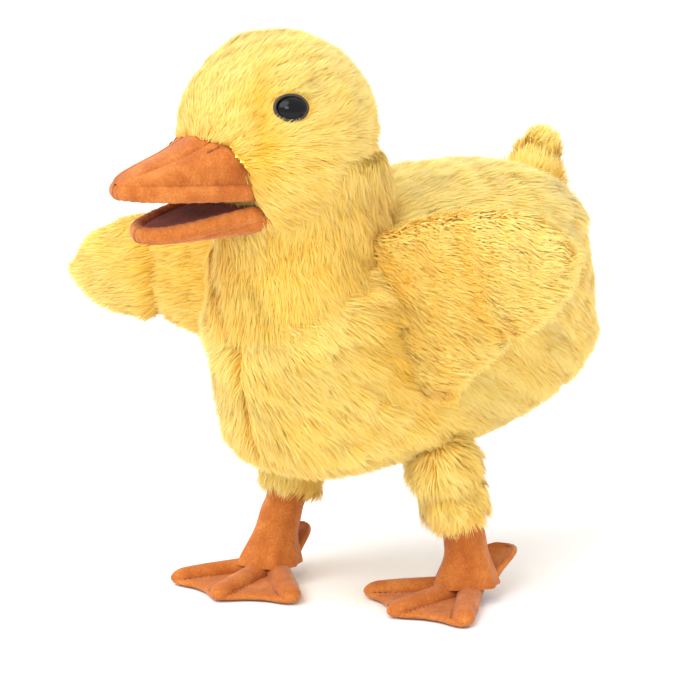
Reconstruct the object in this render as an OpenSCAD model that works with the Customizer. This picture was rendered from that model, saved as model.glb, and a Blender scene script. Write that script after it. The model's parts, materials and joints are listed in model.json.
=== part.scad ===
// Moving mouth hand puppet: a stuffed duckling with a hand space, a beak that opens,
// wings, legs and a tail that hang on their seams. Millimetres, +Z up, the duck faces -Y.
// Origin: on the ground, under the middle of the whole puppet.

/* [Body] */
// Length of the body from breast to rump
body_len = 198; // [170:1:238]
// Width of the body at its middle
body_w = 114; // [96:1:138]
// Height of the back above the body's middle line
back_rise = 51; // [43:1:62]
// Depth of the belly below the body's middle line
belly_drop = 60; // [50:1:75]
// Height of the body's middle line above the ground
body_z = 128; // [118:1:150]
// Where the body's middle lies behind the origin
body_y = 27; // [10:1:50]
// Upward slope of the body towards the tail, in degrees
body_tilt = 12; // [4:1:16]

/* [Cloth] */
// Thickness of the plush, from backing to the middle of its pile
plush = 6; // [4:0.5:8]
// Thickness of the stuffing between plush and lining
stuffing = 6; // [4:0.5:9]
// Thickness of the hand sleeve lining
lining = 1; // [0.8:0.1:2]
// Thickness of the orange suede
suede = 1.6; // [1.2:0.1:2.4]
// Gap between two pieces of one body
seam_gap = 0.3; // [0.2:0.1:0.6]
// Gap between two bodies that move on each other
move_gap = 0.5; // [0.4:0.1:1]

/* [Neck and head] */
// Radius of the ball that the head nods on
neck_r = 28; // [25:0.5:31]
// Wall of the neck skin
neck_wall = 5; // [4:0.5:6]
// Thickness of the head skin where it laps over the neck
skirt = 5; // [4:0.5:6]
// Radius of the head
head_r = 42.5; // [39:0.5:47]
// How far the head's centre lies ahead of the neck ball
head_ahead = 16; // [12:1:20]
// How far the head's centre lies above the neck ball
head_above = 31; // [28:1:36]
// Width of the strip over the crown
crown_w = 30; // [20:1:40]
// Width of an eye
eye_w = 14; // [12:0.5:16]
// Height of an eye
eye_h = 11; // [9:0.5:12]

/* [Beak] */
// Length of the upper beak from the mouth corner
beak_len = 62; // [54:1:74]
// Width of the beak at the mouth corner
beak_w = 52; // [45:1:54]
// Width of the beak near its tip
tip_w = 36; // [28:1:42]
// Height of the upper beak at the brow
beak_h = 25; // [20:0.5:27]
// Depth of the lower beak at its root
jaw_h = 15; // [13:0.5:17]
// Height of the stuffed rim round each half
rim_h = 5; // [4:0.5:6]
// Length of the lower beak
jaw_len = 53; // [46:1:63]

/* [Pose at rest] */
// Turn of the head to the duck's right
head_turn = 8; // [0:1:20]
// Lift of the upper beak above level
upper_lift = 3; // [2:1:8]
// Drop of the lower beak below level
jaw_drop = 10; // [8:1:14]
// Raise of the left wing above level
left_wing_raise = 11; // [-10:1:25]
// Raise of the right wing above level
right_wing_raise = -14; // [-25:1:10]
// Forward sweep of the left wing
left_wing_sweep = 8; // [-10:1:16]
// Forward sweep of the right wing
right_wing_sweep = 14; // [-10:1:16]
// Backward step of the left leg
left_step = 22; // [-24:1:24]
// Backward step of the right leg
right_step = -22; // [-24:1:24]
// Turn of the left foot towards the duck's left
left_foot_turn = -4; // [-20:1:20]
// Turn of the right foot towards the duck's left
right_foot_turn = 14; // [-20:1:20]

/* [Wings] */
// Length of a wing from shoulder seam to tip
wing_len = 104; // [86:1:120]
// Height of a wing along its shoulder seam
wing_root = 76; // [60:1:90]
// Thickness of a stuffed wing
wing_t = 16; // [12:1:20]
// Radius of the rolled shoulder seam
roll_r = 7; // [6:0.5:9]

/* [Legs and tail] */
// Distance from the middle to a hip
hip_x = 43; // [36:1:47]
// Radius of the plush thigh at the hip
thigh_r = 15; // [13:0.5:17]
// Radius of the suede leg
leg_r = 9; // [7.5:0.5:10]
// Height of the ankle
ankle_z = 17; // [15:0.5:20]
// Length of a foot from ankle to middle toe
foot_len = 49; // [42:1:58]
// Width of a foot across the toes
foot_w = 78; // [66:1:88]
// Radius of the tail at its root
tail_r = 13; // [11:0.5:15]
// Length of the tail beyond its root
tail_len = 12; // [8:1:18]

/* [Hidden] */

yellow = "#F7D560";
pale = "#FBE88A";
orange = "#DD8547";
brown = "#6E3B2C";
cloth = "#E9C98A";
fluff = "white";

// ---------- shared helpers ----------
function mix(a, b, t) = a + (b - a) * t;
function signed_pow(s, p) = sign(s) * pow(abs(s), p);
// A point pushed out of the ball (centre c, radius r), so that the cloth dips round it
function clear_of(p, c, r) = norm(p - c) < r ? c + (p - c) * r / norm(p - c) : p;

// A point moved along the unit vector d until it clears the ball (centre c, radius r) on that side,
// so that the cloth makes a dish whose facets keep their places across d
function dished(p, c, r, d) = let (q = p - c, along = q * d, off = q * q - along * along)
  off < r * r ? p + d * max(0, sqrt(r * r - off) - along) : p;

// A closed wall between two equal grids of points, outer and inner. Rows run along the
// first index; a wrapped grid is a tube, and one that isn't wrapped has four cut edges.
module wall(outer, inner, wrapped = false) {
  rows = len(outer);
  cols = len(outer[0]);
  n = rows * cols;
  last = wrapped ? cols - 1 : cols - 2;
  quads = [for (i = [0:rows - 2], j = [0:last]) let (k = (j + 1) % cols)
    [i * cols + j, i * cols + k, (i + 1) * cols + k, (i + 1) * cols + j]];
  ends = [for (j = [0:last]) let (k = (j + 1) % cols, z = (rows - 1) * cols)
    each [[k, j, n + j, n + k], [z + j, z + k, n + z + k, n + z + j]]];
  sides = wrapped ? [] : [for (i = [0:rows - 2]) let (a = i * cols, b = a + cols, e = cols - 1)
    each [[a, b, n + b, n + a], [b + e, a + e, n + a + e, n + b + e]]];
  faces = concat(
    [for (q = quads) each [[q[0], q[1], q[2]], [q[0], q[2], q[3]]]],
    [for (q = quads) each [[n + q[0], n + q[2], n + q[1]], [n + q[0], n + q[3], n + q[2]]]],
    [for (q = concat(ends, sides)) each [[q[0], q[1], q[2]], [q[0], q[2], q[3]]]]);
  polyhedron([for (row = outer) each row, for (row = inner) each row], faces);
}

// A solid through closed rings, with a flat fan at each end
module loft(rings) {
  cols = len(rings[0]);
  rows = len(rings);
  top = (rows - 1) * cols;
  faces = concat(
    [for (i = [0:rows - 2], j = [0:cols - 1]) let (k = (j + 1) % cols, a = i * cols, b = a + cols)
      each [[a + j, a + k, b + k], [a + j, b + k, b + j]]],
    [for (j = [1:cols - 2]) [0, j + 1, j]],
    [for (j = [1:cols - 2]) [top, top + j, top + j + 1]]);
  polyhedron([for (r = rings) each r], faces);
}

// A bag: open at its first ring and closed at its last, with the wall between two lofts
module bag(outer, inner) {
  cols = len(outer[0]);
  rows = len(outer);
  n = rows * cols;
  z = n - cols;
  faces = concat(
    [for (i = [0:rows - 2], j = [0:cols - 1]) let (k = (j + 1) % cols, a = i * cols, b = a + cols)
      each [[a + j, a + k, b + k], [a + j, b + k, b + j]]],
    [for (i = [0:rows - 2], j = [0:cols - 1]) let (k = (j + 1) % cols, a = n + i * cols, b = a + cols)
      each [[a + k, a + j, b + k], [a + j, b + j, b + k]]],
    [for (j = [0:cols - 1]) let (k = (j + 1) % cols) each [[k, j, n + j], [k, n + j, n + k]]],
    [for (j = [1:cols - 2]) each [[z, z + j, z + j + 1], [n + z, n + z + j + 1, n + z + j]]]);
  polyhedron(concat([for (r = outer) each r], [for (r = inner) each r]), faces);
}

// ---------- places ----------
neck_at = [0, body_y - body_len / 2 + 41, body_z + back_rise - 1];
hip_y = body_y - 18;
hip_z = body_z - belly_drop - 4;
tail_at = [0, body_y + body_len / 2 - 13, body_z + back_rise - 8];
dish_r = neck_r + skirt + move_gap + 1.6;

// ---------- body ----------
rings_n = 9;
round_n = 24;
// Room round a ball that the body's flat facets can't cut into
flat_room = 5;
// The thighs' dishes lie across the panels' seams, so they get more
thigh_room = 8;
// Direction of the dish under the tail, in degrees forward of straight down
tail_dip = 40;
top_power = 2.4;
belly_power = 4.2;
// Squareness of the body in plan
plan_power = 2.6;
neck_hole = 25;
vent_l = 34;
vent_w = 29;
vent_p = 27;

// From the body's own slope (across, along, up) to the puppet's frame
function sloped(p) = [p[0],
  body_y + p[1] * cos(body_tilt) - p[2] * sin(body_tilt),
  body_z + p[1] * sin(body_tilt) + p[2] * cos(body_tilt)];
neck_p = (neck_at[1] - body_y) * cos(body_tilt) + (neck_at[2] - body_z) * sin(body_tilt);

// Ring row t runs from -1 at the neck hole over 0 at the widest line to 1 at the hand opening.
// In plan the ring slides from the small hole's circle to the body's outline, and its height
// follows the power curve |height|^m + |reach|^m = 1.
function body_point(t, v, inset) =
  let (a = body_w / 2 - inset, b = body_len / 2 - inset,
       wide = 1 + 0.06 * sin(v),
       edge = [a * wide * signed_pow(cos(v), 0.87), b * signed_pow(sin(v), 0.87)],
       hole = t < 0 ? [neck_hole * cos(v), neck_p + neck_hole * sin(v)]
                    : [vent_w * cos(v), vent_p + vent_l * sin(v)],
       w = cos(90 * abs(t)),
       plan = mix(hole, edge, w),
       reach = min(1, pow(pow(abs(plan[0] / (a * wide)), plan_power) + pow(abs(plan[1] / b), plan_power), 1 / plan_power)),
       m = t < 0 ? top_power : belly_power,
       h = t < 0 ? back_rise - inset : inset - belly_drop,
       p = sloped([plan[0], plan[1], abs(t) < 0.001 ? 0 : h * pow(max(0, 1 - pow(reach, m)), 1 / m)]))
  dished(dished(dished(clear_of(p, neck_at, dish_r + inset),
    tail_at, tail_r + flat_room + inset, [0, -sin(tail_dip), -cos(tail_dip)]),
    [hip_x, hip_y, hip_z], thigh_r + thigh_room + inset, [0, 0, 1]),
    [-hip_x, hip_y, hip_z], thigh_r + thigh_room + inset, [0, 0, 1]);

function body_grid(inset, v0, v1, cols) =
  [for (i = [-rings_n:rings_n]) [for (j = [0:cols]) body_point(i / rings_n, mix(v0, v1, j / cols), inset)]];

// The belly panel spans this much of each ring, in degrees either side of the front
belly_span = 42;
seam_turn = 1;
module body_panel(v0, v1, cols) {
  wall(body_grid(0, v0, v1, cols), body_grid(plush, v0, v1, cols));
}
module side_panel_left() {
  color(yellow) body_panel(-90 + belly_span + seam_turn, 90 - seam_turn, 10);
}
module side_panel_right() {
  color(yellow) body_panel(90 + seam_turn, 270 - belly_span - seam_turn, 10);
}
module breast_belly_panel() {
  color(pale) body_panel(-90 - belly_span, -90 + belly_span, 6);
}
module body_tube(outer_inset, inner_inset) {
  side_from = -90 + belly_span + seam_turn;
  side_to = 90 - seam_turn;
  ring = concat([for (j = [0:6]) mix(-90 - belly_span, -90 + belly_span, j / 6)],
    [for (j = [0:10]) mix(side_from, side_to, j / 10)], [for (j = [0:10]) mix(180 - side_to, 180 - side_from, j / 10)]);
  rows = [-rings_n:rings_n];
  wall([for (i = rows) [for (v = ring) body_point(i / rings_n, v, outer_inset)]],
       [for (i = rows) [for (v = ring) body_point(i / rings_n, v, inner_inset)]], true);
}
sleeve_inset = plush + stuffing + lining;
module body_stuffing() {
  color(fluff) body_tube(plush + 3 * seam_gap, sleeve_inset - lining - 2 * seam_gap);
}
module hand_sleeve_lining() {
  color(cloth) body_tube(sleeve_inset - lining, sleeve_inset);
}
side_panel_left();
side_panel_right();
breast_belly_panel();
body_stuffing();
hand_sleeve_lining();

// The rolled hem round the hand opening: a six-sided tube that follows the opening's edge
hem_t = 2.4;
hem_drop = 6.4;
module opening_hem() {
  ring = [for (j = [0:round_n - 1]) body_point(1, 360 * j / round_n, plush / 2)];
  mid = sloped([0, vent_p, -belly_drop]);
  down = [0, sin(body_tilt), -cos(body_tilt)];
  rows = [for (k = [0:5]) [for (p = ring)
    let (out = (p - mid) / norm(p - mid), a = 60 * k)
    p + down * (hem_drop + hem_t * cos(a)) + out * hem_t * sin(a)]];
  cols = len(ring);
  color(cloth) polyhedron([for (r = rows) each r],
    [for (i = [0:5], j = [0:cols - 1]) let (k = (j + 1) % cols, a = i * cols, b = ((i + 1) % 6) * cols)
      each [[a + j, a + k, b + k], [a + j, b + k, b + j]]]);
}
// A blank strip of woven tape, sewn into the hem behind the opening on the right
label = [12, 0.8, 9];
module care_label() {
  at = body_point(1, 112, plush / 2) + [0, sin(body_tilt), -cos(body_tilt)] * (hem_drop + hem_t);
  color("white") translate(at) rotate([0, 0, 20]) translate([-label[0] / 2, -label[1] / 2, -label[2]]) cube(label);
}

// Shoulder seam rolls: the wings swing about these lines, which lean in to the neck at the top
// and back at the bottom. A raised wing takes its seam line part of the way with it.
wing_at = [body_w / 2 - 16, neck_at[1] + 8, body_z + 37];
lean_in = 14.5;
lean_back = 12;
seam_share = 0.08;
function wing_raise(side) = side > 0 ? left_wing_raise : right_wing_raise;
function seam_lean(side) = lean_in + wing_raise(side) * seam_share;
// The wing's own frame: x runs out along the wing, z up its seam, y through its thickness
module wing_frame(side) {
  mirror([side > 0 ? 0 : 1, 0, 0]) translate(wing_at) rotate([lean_back, -seam_lean(side), 0])
    rotate([0, 0, side > 0 ? -left_wing_sweep : -right_wing_sweep]) children();
}
module shoulder_roll(side) {
  color(yellow) wing_frame(side) translate([0, 0, -wing_root]) cylinder(wing_root, r = roll_r);
}
module shoulder_roll_left() { shoulder_roll(1); }
module shoulder_roll_right() { shoulder_roll(-1); }
opening_hem();
care_label();
shoulder_roll_left();
shoulder_roll_right();

// ---------- neck ----------
ball_top = 25;
ball_low = -29;
skin_in = neck_r - neck_wall;
function arc(r, a0, a1, n) = [for (i = [0:n]) let (a = mix(a0, a1, i / n)) [r * cos(a), r * sin(a)]];
module neck_skin() {
  color(yellow) translate(neck_at) rotate_extrude($fn = 48)
    difference() {
      union() {
        intersection() {
          circle(neck_r, $fn = 48);
          translate([0, neck_r * sin(ball_low)]) square([neck_r + 1, neck_r * (sin(ball_top) - sin(ball_low))]);
        }
        polygon([[1, -neck_r * 0.9], [neck_r - 6.5, -neck_r * 0.9], [neck_r - 0.5, -neck_r * 0.66],
          [neck_r - 0.5, -neck_r * 0.62], [neck_r - 3.6, neck_r * sin(ball_low) + 0.01],
          [1, neck_r * sin(ball_low) + 0.01]]);
      }
      translate([-1, -2 * neck_r]) square([skin_in + 1, 4 * neck_r]);
    }
}
module neck_lining() {
  color(cloth) translate(neck_at + [0, 0, -neck_r * 0.9]) difference() {
    cylinder(neck_r * (0.9 + sin(ball_top)), r = skin_in - seam_gap);
    translate([0, 0, -1]) cylinder(neck_r * 2 + 2, r = skin_in - seam_gap - lining);
  }
}
neck_skin();
neck_lining();

// ---------- head ----------
head_at = [0, -head_ahead, head_above];
mouth_at = [0, -head_ahead - 19, head_above - 24];
head_in = head_r - plush - 2;
recess_w = beak_w + 6;
// Radius of the space that the mouth fold rolls in
hinge_r = 4.6;
// Width of the way that the fingers take from the neck to the beak
finger_w = 38;
module head_frame() { translate(neck_at) rotate([0, 0, -head_turn]) children(); }
// The space in the front of the head that the beak's two halves move in
module mouth_recess() {
  fan = [for (a = [-92 : 17 : 78]) [-70 * cos(a), 70 * sin(a)]];
  translate([-recess_w / 2, mouth_at[1], mouth_at[2]])
    rotate([90, 0, 90]) linear_extrude(recess_w) polygon(concat([[0, 0]], fan));
}
module hinge_space() {
  translate([-recess_w / 2, mouth_at[1], mouth_at[2]]) rotate([0, 90, 0]) cylinder(recess_w, r = hinge_r, $fn = 32);
}
module finger_way(w) {
  translate([-w / 2, head_at[1], head_at[2]]) rotate([90, 0, 90])
    linear_extrude(w) polygon([[4, 14], [-36, 12], [-36, -8], [-20, -26], [4, -20]]);
}
module head_shell(outer, inner) {
  difference() {
    union() {
      translate(head_at) sphere(outer, $fn = 64);
      sphere(neck_r + move_gap + skirt, $fn = 64);
    }
    translate(head_at) sphere(inner, $fn = 64);
    sphere(neck_r + move_gap, $fn = 64);
    translate([-60, -60, -60 - (neck_r + skirt) * sin(12)]) cube([120, 120, 60]);
    mouth_recess();
    hinge_space();
    finger_way(finger_w);
  }
}
eye_turn = 24.5;
eye_tilt = 22.5;
// The eye's frame: z points out of the head at the eye
module eye_frame(side) {
  translate(head_at) rotate([0, 0, side > 0 ? -eye_turn : 180 + eye_turn]) rotate([0, 90 - eye_tilt, 0]) children();
}
module eye_pocket() {
  for (s = [1, -1]) eye_frame(s) {
    translate([0, 0, head_r - 5]) cylinder(20, r = eye_w / 2 + 0.6, $fn = 32);
    cylinder(head_r, r = 2.4, $fn = 24);
  }
}
module slab(x0, x1) { translate([x0, -100, -60]) cube([x1 - x0, 200, 160]); }
module head_panel(side) {
  color(yellow) head_frame() difference() {
    intersection() {
      head_shell(head_r, head_in);
      if (side > 0) slab(crown_w / 2 + seam_gap / 2, 60); else slab(-60, -crown_w / 2 - seam_gap / 2);
    }
    eye_pocket();
  }
}
module head_panel_left() { head_panel(1); }
module head_panel_right() { head_panel(-1); }
module crown_gusset() {
  color(pale) head_frame() intersection() {
    head_shell(head_r, head_in);
    slab(-crown_w / 2 + seam_gap / 2, crown_w / 2 - seam_gap / 2);
  }
}
// Stuffing and lining are walls round the finger space, open to the neck and to the beak
module head_layer(outer, inner) {
  head_frame() difference() {
    translate(head_at) sphere(outer, $fn = 48);
    translate(head_at) sphere(inner, $fn = 48);
    sphere(neck_r + move_gap + 0.3, $fn = 64);
    mouth_recess();
    hinge_space();
    finger_way(finger_w);
    eye_pocket();
  }
}
module head_stuffing() { color(fluff) head_layer(head_in - 2.6, head_in - 7); }
module head_lining() { color(cloth) head_layer(head_in - 7.3, head_in - 8.3); }
module eye(side) {
  color("black") head_frame() eye_frame(side) {
    translate([0, 0, head_r - 4.2]) difference() {
      scale([eye_h / eye_w, 1, 0.62]) sphere(eye_w / 2, $fn = 48);
      translate([0, 0, -10]) cube([20, 20, 20], center = true);
    }
    translate([0, 0, head_in - 3.6]) cylinder(head_r - head_in - 0.4, r = 1.8, $fn = 24);
  }
}
module eye_left() { eye(1); }
module eye_right() { eye(-1); }
module eye_washers() {
  color("white") head_frame() for (s = [1, -1]) eye_frame(s)
    translate([0, 0, head_in - 2.2]) difference() {
      cylinder(1.4, r = 5.5, $fn = 32);
      translate([0, 0, -1]) cylinder(4, r = 1.9, $fn = 24);
    }
}
module mouth_fold() {
  color(brown) head_frame() translate([-beak_w / 2 + 1, mouth_at[1], mouth_at[2]])
    rotate([0, 90, 0]) cylinder(beak_w - 2, r = 3, $fn = 32);
}
head_panel_left();
head_panel_right();
crown_gusset();
head_stuffing();
head_lining();
eye_left();
eye_right();
eye_washers();
mouth_fold();

// ---------- beak ----------
// Each half has its mouth plane at z = 0 and its hinge line at x: s runs forward from the hinge
root_s = 6;
// Half width of the beak at distance s: an even taper that closes in a round, spread tip
function half_w(s, len) = mix(beak_w / 2, tip_w / 2, min(1, s / (len * 0.8)))
  * pow(max(0, 1 - pow(s / len, 7)), 0.5);
// The outline of one half in plan, from the left root round the tip to the right root
function outline(len, inset, n = 9) = let (
  half = [for (i = [0:n]) let (s = mix(root_s, len, 1 - pow(1 - i / n, 1.8))) [half_w(s, len), s]],
  tip_s = len - inset)
  [for (i = [0:2 * n]) let (q = half[i <= n ? i : 2 * n - i], m = i <= n ? 1 : -1)
    [m * max(0, q[0] - inset), -min(q[1], tip_s)]];
module plate(len, inset, z0, t) {
  translate([0, 0, z0]) linear_extrude(t) polygon(outline(len, inset));
}
// The stuffed rim: a rounded band swept round the outline
module rim(len, z0, h) {
  out = outline(len, 0);
  n = len(out);
  back = outline(len, 4.2);
  loft([for (i = [0:n - 1]) let (o = out[i], b = back[i]) [for (k = [0:7]) let (a = 45 * k, u = (1 + cos(a)) / 2)
    [mix(b[0], o[0], u), mix(b[1], o[1], u), z0 + h / 2 + h / 2 * sin(a)]]]);
}
module upper_frame() {
  head_frame() translate([0, mouth_at[1], mouth_at[2]]) rotate([-upper_lift, 0, 0]) children();
}
module lower_frame() {
  head_frame() translate([0, mouth_at[1], mouth_at[2]]) rotate([jaw_drop, 0, 0]) children();
}
lip = 0.6;
// Where the top meets the brow, ahead of the hinge
brow_s = 22;
function upper_top(s) = mix(beak_h, rim_h + 3.2, pow((s - brow_s) / (beak_len - brow_s), 0.85));
// Arch over the upper beak at row s: a flat strip along its top and a round shoulder each side
function arch(s, a, inset) = let (w = half_w(s, beak_len) - 1.2 - inset, top = upper_top(s) - inset, low = rim_h + lip + seam_gap)
  [w * signed_pow(cos(a), 0.8), -s, low + max(0.3, top - low) * pow(sin(a), 0.7)];
// The root end leans back along the brow, from the hinge to the top
function leaned(p, s) = s > brow_s + 0.1 ? p : [p[0], p[1] - (p[2] - beak_h) * (brow_s - root_s) / beak_h * 0.75, p[2]];
upper_rows = [brow_s, 30, 38, 46, 53, 59, beak_len - 2.2];
module upper_patch(a0, a1, n) {
  grid = function (inset) [for (s = upper_rows) [for (j = [0:n]) leaned(arch(s, mix(a0, a1, j / n), inset), s)]];
  wall(grid(0), grid(suede));
}
strip_edge = 66;
module upper_beak_left() { color(orange) upper_frame() upper_patch(2, strip_edge - 0.6, 6); }
module upper_beak_right() { color(orange) upper_frame() upper_patch(180 - strip_edge + 0.6, 178, 6); }
module upper_beak_strip() { color(orange) upper_frame() upper_patch(strip_edge, 180 - strip_edge, 4); }
module upper_beak_rim() { color(orange) upper_frame() rim(beak_len, lip, rim_h); }
palate_in = 4.6;
module upper_palate() { color(brown) upper_frame() plate(beak_len, palate_in, lip, 1.2); }
module upper_board() { color("tan") upper_frame() plate(beak_len, palate_in + 1, lip + 1.4, 1.6); }
// A flattened cloth pocket, rectangular with round corners, from the root forward
function pocket_ring(s, w, z0, h) = [for (k = [0:11]) let (a = 30 * k + 15)
  [w * signed_pow(cos(a), 0.6), -s, z0 + h / 2 + h / 2 * signed_pow(sin(a), 0.6)]];
module finger_pocket() {
  rows = [[10, 15.5, 4, 6.5], [brow_s, 16, 4, 15.5], [34, 14, 4, 11.5], [46, 10, 4, 6.5]];
  color(cloth) upper_frame() bag([for (r = rows) pocket_ring(r[0], r[1], r[2], r[3])],
    [for (r = rows) pocket_ring(r[0] - (r[0] == 46 ? lining : 0), r[1] - lining, r[2] + lining, r[3] - 2 * lining)]);
}
module nostril_stitches() {
  color("#8A4630") upper_frame() for (m = [1, -1], k = [0:2])
    let (s = 31 + 2.4 * k, p = arch(s, m > 0 ? 52 : 128, -0.7))
      translate(p) rotate([0, 0, 20 * m]) cube([0.9, 2, 0.8], center = true);
}
lower_rows = [root_s + 4, 20, 30, 40, 49, jaw_len - 2.5];
function jaw_depth(s) = mix(jaw_h, rim_h + 2, (s - root_s) / (jaw_len - root_s));
function trough(s, a, inset) = let (w = half_w(s, jaw_len) - 1.6 - inset, low = rim_h + lip + seam_gap)
  [w * signed_pow(cos(a), 0.8), -s + (s < 20 ? 0.35 * (jaw_depth(s) - low) * (1 - sin(a)) : 0),
   -low - max(0.3, jaw_depth(s) - inset - low) * pow(sin(a), 0.7)];
module lower_beak_shell() {
  grid = function (inset) [for (s = lower_rows) [for (j = [0:12]) trough(s, mix(2, 178, j / 12), inset)]];
  color(orange) lower_frame() wall(grid(0), grid(suede));
}
module lower_beak_rim() { color(orange) lower_frame() rim(jaw_len, -lip - rim_h, rim_h); }
module lower_palate() { color(brown) lower_frame() plate(jaw_len, palate_in, -lip - 1.2, 1.2); }
module lower_board() { color("tan") lower_frame() plate(jaw_len, palate_in + 1, -lip - 3, 1.6); }
module thumb_pocket() {
  rows = [[9, 12, 3.9, 7.6], [20, 11.5, 3.9, 6.2], [36, 8.5, 3.9, 3]];
  color(cloth) lower_frame() mirror([0, 0, 1]) bag([for (r = rows) pocket_ring(r[0], r[1], r[2], r[3])],
    [for (r = rows) pocket_ring(r[0] - (r[0] == 36 ? lining : 0), r[1] - lining, r[2] + lining, r[3] - 2 * lining)]);
}
upper_beak_left();
upper_beak_right();
upper_beak_strip();
upper_beak_rim();
upper_palate();
upper_board();
finger_pocket();
nostril_stitches();
lower_beak_shell();
lower_beak_rim();
lower_palate();
lower_board();
thumb_pocket();

// ---------- wings ----------
// Height of a wing's upper and lower edge at distance x, above its arm line: a broad sail by
// the body that narrows to a round paddle
function tip_round(t) = 1 - sqrt(1 - pow(max(0, t - 0.72) / 0.285, 2));
function wing_top(x) = let (t = x / wing_len) 5 + 7 * sin(90 * min(1, t * 1.6)) - 17 * tip_round(t);
function wing_low(x) = let (t = x / wing_len) mix(-wing_root + 4, -26, pow(t, 0.8)) + 17 * tip_round(t);
function wing_thick(x) = let (t = x / wing_len) wing_t * mix(1, 0.62, pow(t, 2.5));
// One ring of the stuffed wing at distance x along its arm, which rises or falls from the seam
wing_from = roll_r + move_gap;
function wing_ring(x, side, inset) = let (
  slope = wing_raise(side) - seam_lean(side),
  out = wing_from + (x - wing_from) * cos(slope),
  drift = (x - wing_from) * sin(slope),
  hi = wing_top(x) - inset, lo = wing_low(x) + inset)
  [for (k = [0:15]) let (a = 22.5 * k)
    [out, (wing_thick(x) / 2 - inset * 0.8) * signed_pow(cos(a), 0.9),
     drift + (hi + lo) / 2 + (hi - lo) / 2 * signed_pow(sin(a), 0.75)]];
wing_plush = 4.4;
fold_x = wing_len * 0.5;
// Half the width of the crease the tip folds on
fold_gap = 2;
inner_rows = [for (t = [0:0.25:1]) mix(wing_from, fold_x - fold_gap, t)];
tip_rows = [for (t = [0, 0.25, 0.45, 0.62, 0.77, 0.89, 0.97, 1]) mix(fold_x + fold_gap, wing_len, t)];
// Rows of the filling, drawn together so that they stop short of the wing's closed end
function short_rows(rows, by) = let (first = rows[0], last = rows[len(rows) - 1])
  [for (x = rows) mix(first, last - by, (x - first) / (last - first))];
module wing_skin(rows, side) {
  color(yellow) wing_frame(side) bag([for (x = rows) wing_ring(x, side, 0)],
    [for (x = short_rows(rows, wing_plush)) wing_ring(x, side, wing_plush)]);
}
module wing_fill(rows, side) {
  color(fluff) wing_frame(side)
    loft([for (x = short_rows(rows, wing_plush + seam_gap)) wing_ring(x, side, wing_plush + 2 * seam_gap)]);
}
module wing_left() { wing_skin(inner_rows, 1); }
module wing_right() { wing_skin(inner_rows, -1); }
module wing_left_stuffing() { wing_fill(inner_rows, 1); }
module wing_right_stuffing() { wing_fill(inner_rows, -1); }
module wing_tip_left() { wing_skin(tip_rows, 1); }
module wing_tip_right() { wing_skin(tip_rows, -1); }
module wing_tip_left_stuffing() { wing_fill(tip_rows, 1); }
module wing_tip_right_stuffing() { wing_fill(tip_rows, -1); }
wing_left();
wing_left_stuffing();
wing_tip_left();
wing_tip_left_stuffing();
wing_right();
wing_right_stuffing();
wing_tip_right();
wing_tip_right_stuffing();

// ---------- legs ----------
cuff_len = 24;
tube_top = 8;
function step(side) = side > 0 ? left_step : right_step;
function leg_len(side) = (hip_z - ankle_z) / cos(step(side));
module hip_frame(side) {
  translate([side * hip_x, hip_y, hip_z]) rotate([step(side), 0, 0]) children();
}
// A turned solid from the hip ball down; the profile lists radius and height
module thigh_cuff(side) {
  color(yellow) hip_frame(side) rotate_extrude($fn = 48) polygon(concat(
    arc(thigh_r, 90, -28, 10), [[thigh_r - 2, -cuff_len], [leg_r + seam_gap, -cuff_len],
    [leg_r + seam_gap, -tube_top + seam_gap], [0, -tube_top + seam_gap]]));
}
module leg_tube(side) {
  low = -leg_len(side);
  sit = leg_r - suede;
  color(orange) hip_frame(side) rotate_extrude($fn = 48) polygon(concat(
    [[sit, -tube_top], [leg_r, -tube_top]], [for (q = arc(leg_r, 0, -90, 8)) q + [0, low]],
    [for (q = arc(sit, -90, 0, 8)) q + [0, low]]));
}
module leg_stuffing(side) {
  low = -leg_len(side);
  sit = leg_r - suede - seam_gap;
  color(fluff) hip_frame(side) rotate_extrude($fn = 48) polygon(concat(
    [[0, -tube_top], [sit, -tube_top]], [for (q = arc(sit, 0, -90, 8)) q + [0, low]]));
}
module thigh_cuff_left() { thigh_cuff(1); }
module thigh_cuff_right() { thigh_cuff(-1); }
module leg_tube_left() { leg_tube(1); }
module leg_tube_right() { leg_tube(-1); }
module leg_stuffing_left() { leg_stuffing(1); }
module leg_stuffing_right() { leg_stuffing(-1); }
thigh_cuff_left();
thigh_cuff_right();
leg_tube_left();
leg_tube_right();
leg_stuffing_left();
leg_stuffing_right();

// ---------- feet ----------
toe_angle = asin(min(0.9, (foot_w / 2 - 6) / foot_len));
collar_r = leg_r + move_gap + suede;
module foot_frame(side) {
  translate([side * hip_x, hip_y + leg_len(side) * sin(step(side)), 0])
    rotate([0, 0, side > 0 ? left_foot_turn : right_foot_turn]) children();
}
// A point at distance d ahead of the ankle, turned a degrees to the side
function ahead(d, a) = [d * sin(a), -d * cos(a)];
// The web's outline: round toe tips, hollow webs between them, and a short heel flap
function foot_tips() = [for (t = [-1:1], e = [-1:1])
  ahead(foot_len * (t == 0 ? 1 : 0.97) - (e == 0 ? 0 : 2.5), toe_angle * t + 7 * e)];
module foot_sheet(z0, t) {
  tips = foot_tips();
  webs = [for (s = [-0.5, 0.5]) ahead(foot_len * 0.84, toe_angle * s)];
  heel = [[11, -9], [9.5, 6], [7, 15], [-7, 15], [-9.5, 6], [-11, -9]];
  translate([0, 0, z0]) linear_extrude(t) polygon(concat(
    [tips[0], tips[1], tips[2], webs[0], tips[3], tips[4], tips[5], webs[1], tips[6], tips[7], tips[8]], heel));
}
sheet_z = suede + seam_gap;
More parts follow.
